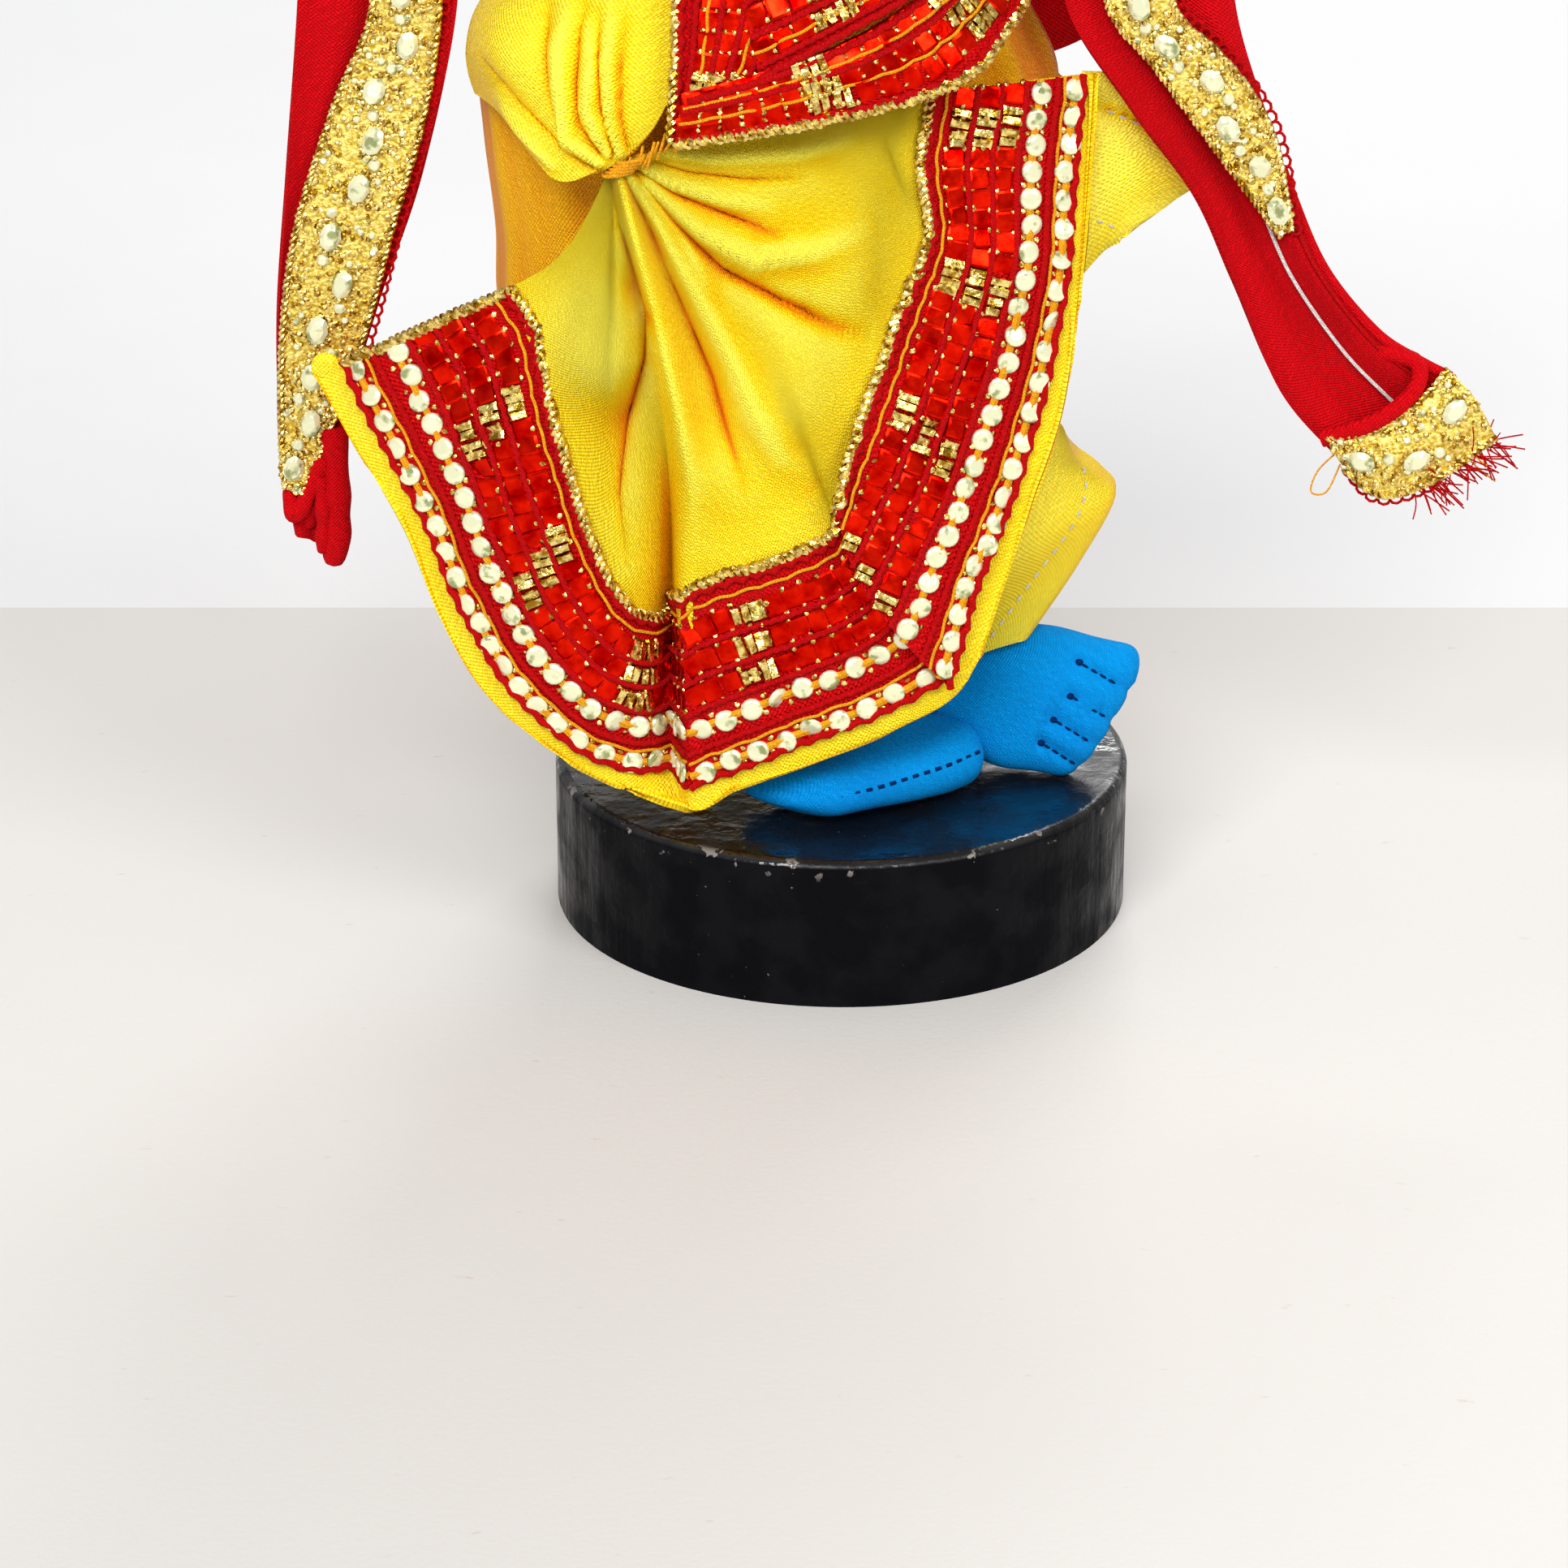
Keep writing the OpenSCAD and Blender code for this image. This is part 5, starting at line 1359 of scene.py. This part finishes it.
HEAD_X = -4
HEAD = arr([(209, HEAD_X, 0, 7, 7), (210.5, HEAD_X, -0.5, 11, 11.5), (213.5, HEAD_X, -1, 14.6, 15),
            (220, HEAD_X, 0, 19, 19.5), (230, HEAD_X, 0.5, 21, 21.5), (240, HEAD_X, 1, 22, 22),
            (250, HEAD_X, 1, 20.5, 20.5), (257, HEAD_X, 1, 15, 15), (260, HEAD_X, 1, 7, 7)])


def face_relief(x, z):
    """How far the face stands out at x from its middle and height z."""
    def bump(cx, cz, wx, wz):
        return np.exp(-((np.abs(x) - cx) / wx)**2 - ((z - cz) / wz)**2)
    bridge = np.exp(-(x / (1.5 + 0.17 * np.clip(233 - z, 0, 12)))**2) * np.clip((235 - z) / 11, 0, 1)**1.3
    nose = 3.4 * bridge / (1 + np.exp(-(z - 222.4) * 2.2))
    nostrils = 0.9 * bump(2.2, 223.6, 1.5, 1.4)
    eyes = 0.6 * bump(8, 236.5, 5.0, 1.6) - 1.3 * bump(8.0, 231.5, 4.4, 2.8)
    cheeks = 1.0 * bump(10.5, 223.5, 5.5, 4.0)
    lips = 0.9 * bump(0, 218.6, 4.4, 1.2) + 0.9 * bump(0, 216.4, 3.8, 1.1) - 0.7 * bump(0, 217.5, 4.6, 0.5)
    chin = 1.3 * bump(0, 212.6, 4.5, 2.0)
    return nose + nostrils + eyes + cheeks + lips + chin


def face_y(x, z):
    """Y of the face at x from its middle and height z."""
    mid_y, half_w, half_d = (np.interp(z, HEAD[:, 0], HEAD[:, k]) for k in (2, 3, 4))
    return mid_y - half_d * np.sqrt(np.clip(1 - (x / half_w)**2, 0, 1)) - face_relief(x, z)


wall = ellipse_rings(HEAD, 110, 140)
front = np.clip(-(wall[..., 1] - 1) / 12, 0, 1)
wall[..., 1] -= face_relief(wall[..., 0] - HEAD_X, wall[..., 2]) * front
head = Piece("head_cloth").add((wall.reshape(-1, 3), capped(110, 140)), BLUE)


def applique(piece, outline, material, lift=0.25, dome=0.0, mirror=False):
    """A thin shape sewn on the face, its outline (x, height) points. A mirrored one is on both sides."""
    sides = 40
    shares = (1.0, 0.97, 0.75, 0.5, 0.25, 0.02)
    middle = list(range((len(shares) - 1) * sides, len(shares) * sides))
    edge = smooth([*outline, outline[0]], sides + 1)[:-1]
    centre = edge.mean(0)
    for sign in (1, -1) if mirror else (1,):
        rings = []
        for s in shares:
            p = centre + (edge - centre) * s
            y = face_y(p[:, 0], p[:, 1]) - lift * (s < 0.99) - dome * (1 - s**2)
            rings.append(np.stack([HEAD_X + sign * p[:, 0], y, p[:, 1]], 1))
        faces = quads(len(shares), sides, ring=True).tolist() + [middle]
        piece.add((arr(rings).reshape(-1, 3), faces), material)


applique(head, [(3.9, 230.6), (6.4, 233.0), (9.6, 233.2), (12.9, 231.2), (10.4, 229.2), (6.8, 228.9)],
         EYE_WHITE, 0.3, 0.5, True)
applique(head, [(6.6, 231.1), (8.4, 233.1), (10.2, 231.1), (8.4, 229.3)], INK, 0.55, 0.55, True)
applique(head, [(7.4, 231.9), (7.9, 232.4), (8.3, 231.9), (7.9, 231.5)], EYE_WHITE, 0.95, 0.45, True)
applique(head, [(3.4, 230.3), (6.2, 233.2), (9.7, 233.7), (14.2, 231.6), (9.7, 234.3), (6.0, 233.9)], INK,
         0.55, 0.1, True)
applique(head, [(3.2, 236.2), (7.2, 238.4), (12.4, 237.4), (14.0, 235.6), (10.0, 237.0), (6.4, 237.1)], INK,
         0.3, 0.15, True)
applique(head, [(-4.4, 217.6), (-2.0, 219.3), (0, 218.8), (2.0, 219.3), (4.4, 217.6), (2.2, 215.8),
                (-2.2, 215.8)], LIP, 0.25, 0.4)
line = [(-4.6, 217.8), (-2.2, 217.2), (0, 217.5), (2.2, 217.2), (4.6, 217.8)]
head.add(tube(smooth([(HEAD_X + x, face_y(x, z) - 0.75, z) for x, z in line], 30), 0.2, 6), NAVY)
for sign in (1, -1):
    head.add(blob((HEAD_X + sign * 21.6, -1.0, 229), (1.6, 0, 0), (0, 3.2, 0), (0, 0, 5.2), 10), BLUE)
obj = head.done("head", "blue_cotton", ("head",))

# Yarn hair hangs below the turban, round the back and sides.
hair = Piece("hair_yarn")
back_of_head = np.radians(np.linspace(208, -28, 74))
for a in back_of_head:
    wave = RNG.uniform(0, 6)
    short = abs(math.cos(a))**4
    strand = []
    for z, r in ((243, 24.4), (236, 24.7 + RNG.normal(0, 0.2)), (228, 24.0),
                 (219, 22.2 + RNG.normal(0, 0.3)),
                 (211 + 2.5 * short, 19.6), (205.5 + 5.5 * short + RNG.uniform(-1.2, 1.2), 16.4)):
        angle = a + 0.03 * math.sin(wave + z)
        strand.append((HEAD_X + r * math.cos(angle), 1 + r * math.sin(angle), z))
    for twist in twisted(smooth(strand, 24), 1.05, 4.0):
        hair.add(twist, YARN)
turn = back_of_head[::4]
table = []
for z, r in ((243, 23.2), (232, 23.2), (222, 22), (212, 18.8), (206, 16.0)):
    row = circle((HEAD_X, 1, z), (r, 0, 0), (0, r, 0), turn)
    row[:, 2] += (243 - z) / 37 * 6 * np.abs(np.cos(turn))**4
    table.append(row)
hair.slab(surface(table, 24, 90), 1.4, YARN, (0, 1, 0))
hair.done("head", "black_yarn", ("hair",))


# ---- Turban ----

def winding(a, v):
    """Folds of cloth wound slantwise round the head."""
    turn = 5.5 * v + 0.55 * np.sin(a + 0.6) + 0.2 * np.sin(3 * a)
    return 1.25 * np.abs(np.sin(math.pi * turn))**0.6 - 0.7 + 0.22 * np.sin(31 * a + 14 * v) * v


TURBAN_RINGS = [(241.2, HEAD_X, 1, 23.5, 23.5), (242, HEAD_X, 1, 26.3, 26.3), (246, HEAD_X, 1, 28.7, 28.7),
                (254, HEAD_X, 1.5, 29, 29), (261, HEAD_X, 2, 26, 26), (266, HEAD_X, 3, 20, 20),
                (269.6, HEAD_X, 3.5, 12, 12), (271, HEAD_X, 3.5, 4, 4)]
wall = ellipse_rings(TURBAN_RINGS, 110, 200, winding)
turban = Piece("turban_cloth").add((wall.reshape(-1, 3), capped(110, 200)), TURBAN)
turban.add(blob((HEAD_X, 3.5, 270.6), (3.6, 0, 0), (0, 3.6, 0), (0, 0, 2.4), 10), TURBAN)
obj = turban.done("head", "turban_cloth", ("turban",))

# A band of mirrors between two gold twists.
band = Piece("turban_trim")
band_middle = arr((HEAD_X, 1.2, 248))
turn = np.linspace(0, 2 * math.pi, 120)
for lift in (-1.5, 1.5):
    for strand in twisted(circle(band_middle + (0, 0, lift), (30.2, 0, 0), (0, 30.2, 0), turn), 0.65, 2.4):
        band.add(strand, GOLD)
turn = np.linspace(0, 2 * math.pi, 62, endpoint=False)
radial = circle((0, 0, 0), (1, 0, 0), (0, 1, 0), turn)
beside = circle((0, 0, 0), (0, 1, 0), (-1, 0, 0), turn)
upright = np.tile((0, 0, 1.0), (62, 1))
band.add(stamp(DISC, band_middle + 30.0 * radial, beside, upright, radial, 1.35), MIRROR)
band.done("head", "gilt_metal", ("turban_band",))


def fan_row(r):
    """The pleated fan at a distance from its root."""
    pleat = (r - 2) / 20 * 0.9
    return [(HEAD_X + r * math.cos(a), -17 - 0.15 * (r - 4) + (pleat if k % 2 else -pleat),
             264 + r * 0.92 * math.sin(a)) for k, a in enumerate(np.radians(np.linspace(160, 20, 57)))]


fan_table = [fan_row(r) for r in (4.0, 10, 16, 21)]
fan_grid = smooth(fan_table, 30)
fan = Piece("turban_fan_cloth").slab(fan_grid, 0.7, FAN, (0, -1, 0), tone=0.2)
for strand in twisted(fan_grid[-1] + arr((0, -0.2, 0)), 0.75, 2.4):
    fan.add(strand, GOLD)
fan.add(tube(fan_grid[22] + arr((0, -0.5, 0)), 0.35, 6), CORD)
obj = fan.done("head", "fan_cloth", ("turban_fan",))
declare_sheet(fan_grid)


def jewel(name, body, spot, stone, radius, pearl):
    """A red stone in a ring of ten pearls, facing forwards."""
    right, up, front = (np.tile(arr(axis), (10, 1)) for axis in ((1, 0, 0), (0, 0, 1), (0, -1, 0)))
    piece = Piece(name)
    piece.add(stamp(STONE, arr([spot]), right[:1], up[:1], front[:1], stone), RUBY)
    ring = circle(spot, (radius, 0, 0), (0, 0, radius), np.linspace(0, 2 * math.pi, 10, endpoint=False))
    piece.add(stamp(BALL, ring, right, up, front, pearl), PEARL)
    piece.done(body, "gilt_metal")


jewel("turban_jewel_stones", "head", (HEAD_X, -32.7, 250), 2.3, 3.4, 0.85)


# ---- Flute and small things ----

flute_from = arr((22, -30, 222))
flute_dir = unit(arr(ARMS["right"][2]) - flute_from)
side = unit(np.cross(flute_dir, (0, 0, 1)))
rise = np.cross(side, flute_dir)
wraps = Piece("flute_thread")
turn = np.linspace(0, 2 * math.pi * 5, 120)
for s, thread in ((3, GOLD), (20, CORD), (109.6, GOLD)):
    middle = flute_from + flute_dir * (s + np.linspace(-1.7, 1.7, 120)[:, None])
    wraps.add(tube(circle(middle, 3.45 * side, 3.45 * rise, turn), 0.42, 6), thread)
wraps.done("flute", "gilt_metal", ("flute_bindings",))

tied = flute_from + flute_dir * 105.4
knot = tied + arr((0, 0, -5.2))
tassel = Piece("flute_tassel_threads").add(blob(knot, (2.1, 0, 0), (0, 2.1, 0), (0, 0, 1.9), 10), CORD)
turn = np.linspace(0, 2 * math.pi, 24)
tassel.add(tube(circle(tied, (0, 3.3, 0), (0, 0, 3.3), turn), 0.35, 6, ref=(1, 0, 0)), CORD)
for k in range(46):
    a, r = RNG.uniform(0, 2 * math.pi), math.sqrt(RNG.uniform(0, 1))
    out = arr((math.cos(a), math.sin(a), 0)) * r
    drops = ((1.2, 1), (1.9, 7), (2.7, 15 + RNG.uniform(0, 1.5)))
    thread = smooth([knot + out * width - arr((0, 0, drop)) for width, drop in drops], 9)
    tassel.add(tube(thread, 0.24, 5), CORD if k % 6 else GOLD)
tassel.add(tube(circle(knot - arr((0, 0, 3.2)), (1.9, 0, 0), (0, 1.9, 0), turn), 0.45, 6), GOLD)
tassel.done("flute", "red_cotton", ("flute_tassel",))

low, high = (arr(corner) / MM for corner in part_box("pendant"))
middle = (low + high) / 2
jewel("pendant_stone", "root", (middle[0], low[1] - 0.1, middle[2] - TOP / MM), 2.1, 3.1, 0.55)

# The CAD parts that stay in view.
PAINT = {"base_disc": lacquer(), "flute": BAMBOO, "necklace": PEARL, "pendant": GILT, "turban_jewel": GILT}
for side in ("right", "left"):
    for name, paint in (("earring", GILT), ("armlet", GILT), ("anklet", BEAD), ("bangles", BEAD)):
        PAINT[side + "_" + name] = paint
for node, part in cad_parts.items():
    paint = PAINT.get(node, STEEL if "wire" in node or "pin" in node else None)
    if paint:
        part.data.materials.clear()
        part.data.materials.append(paint)
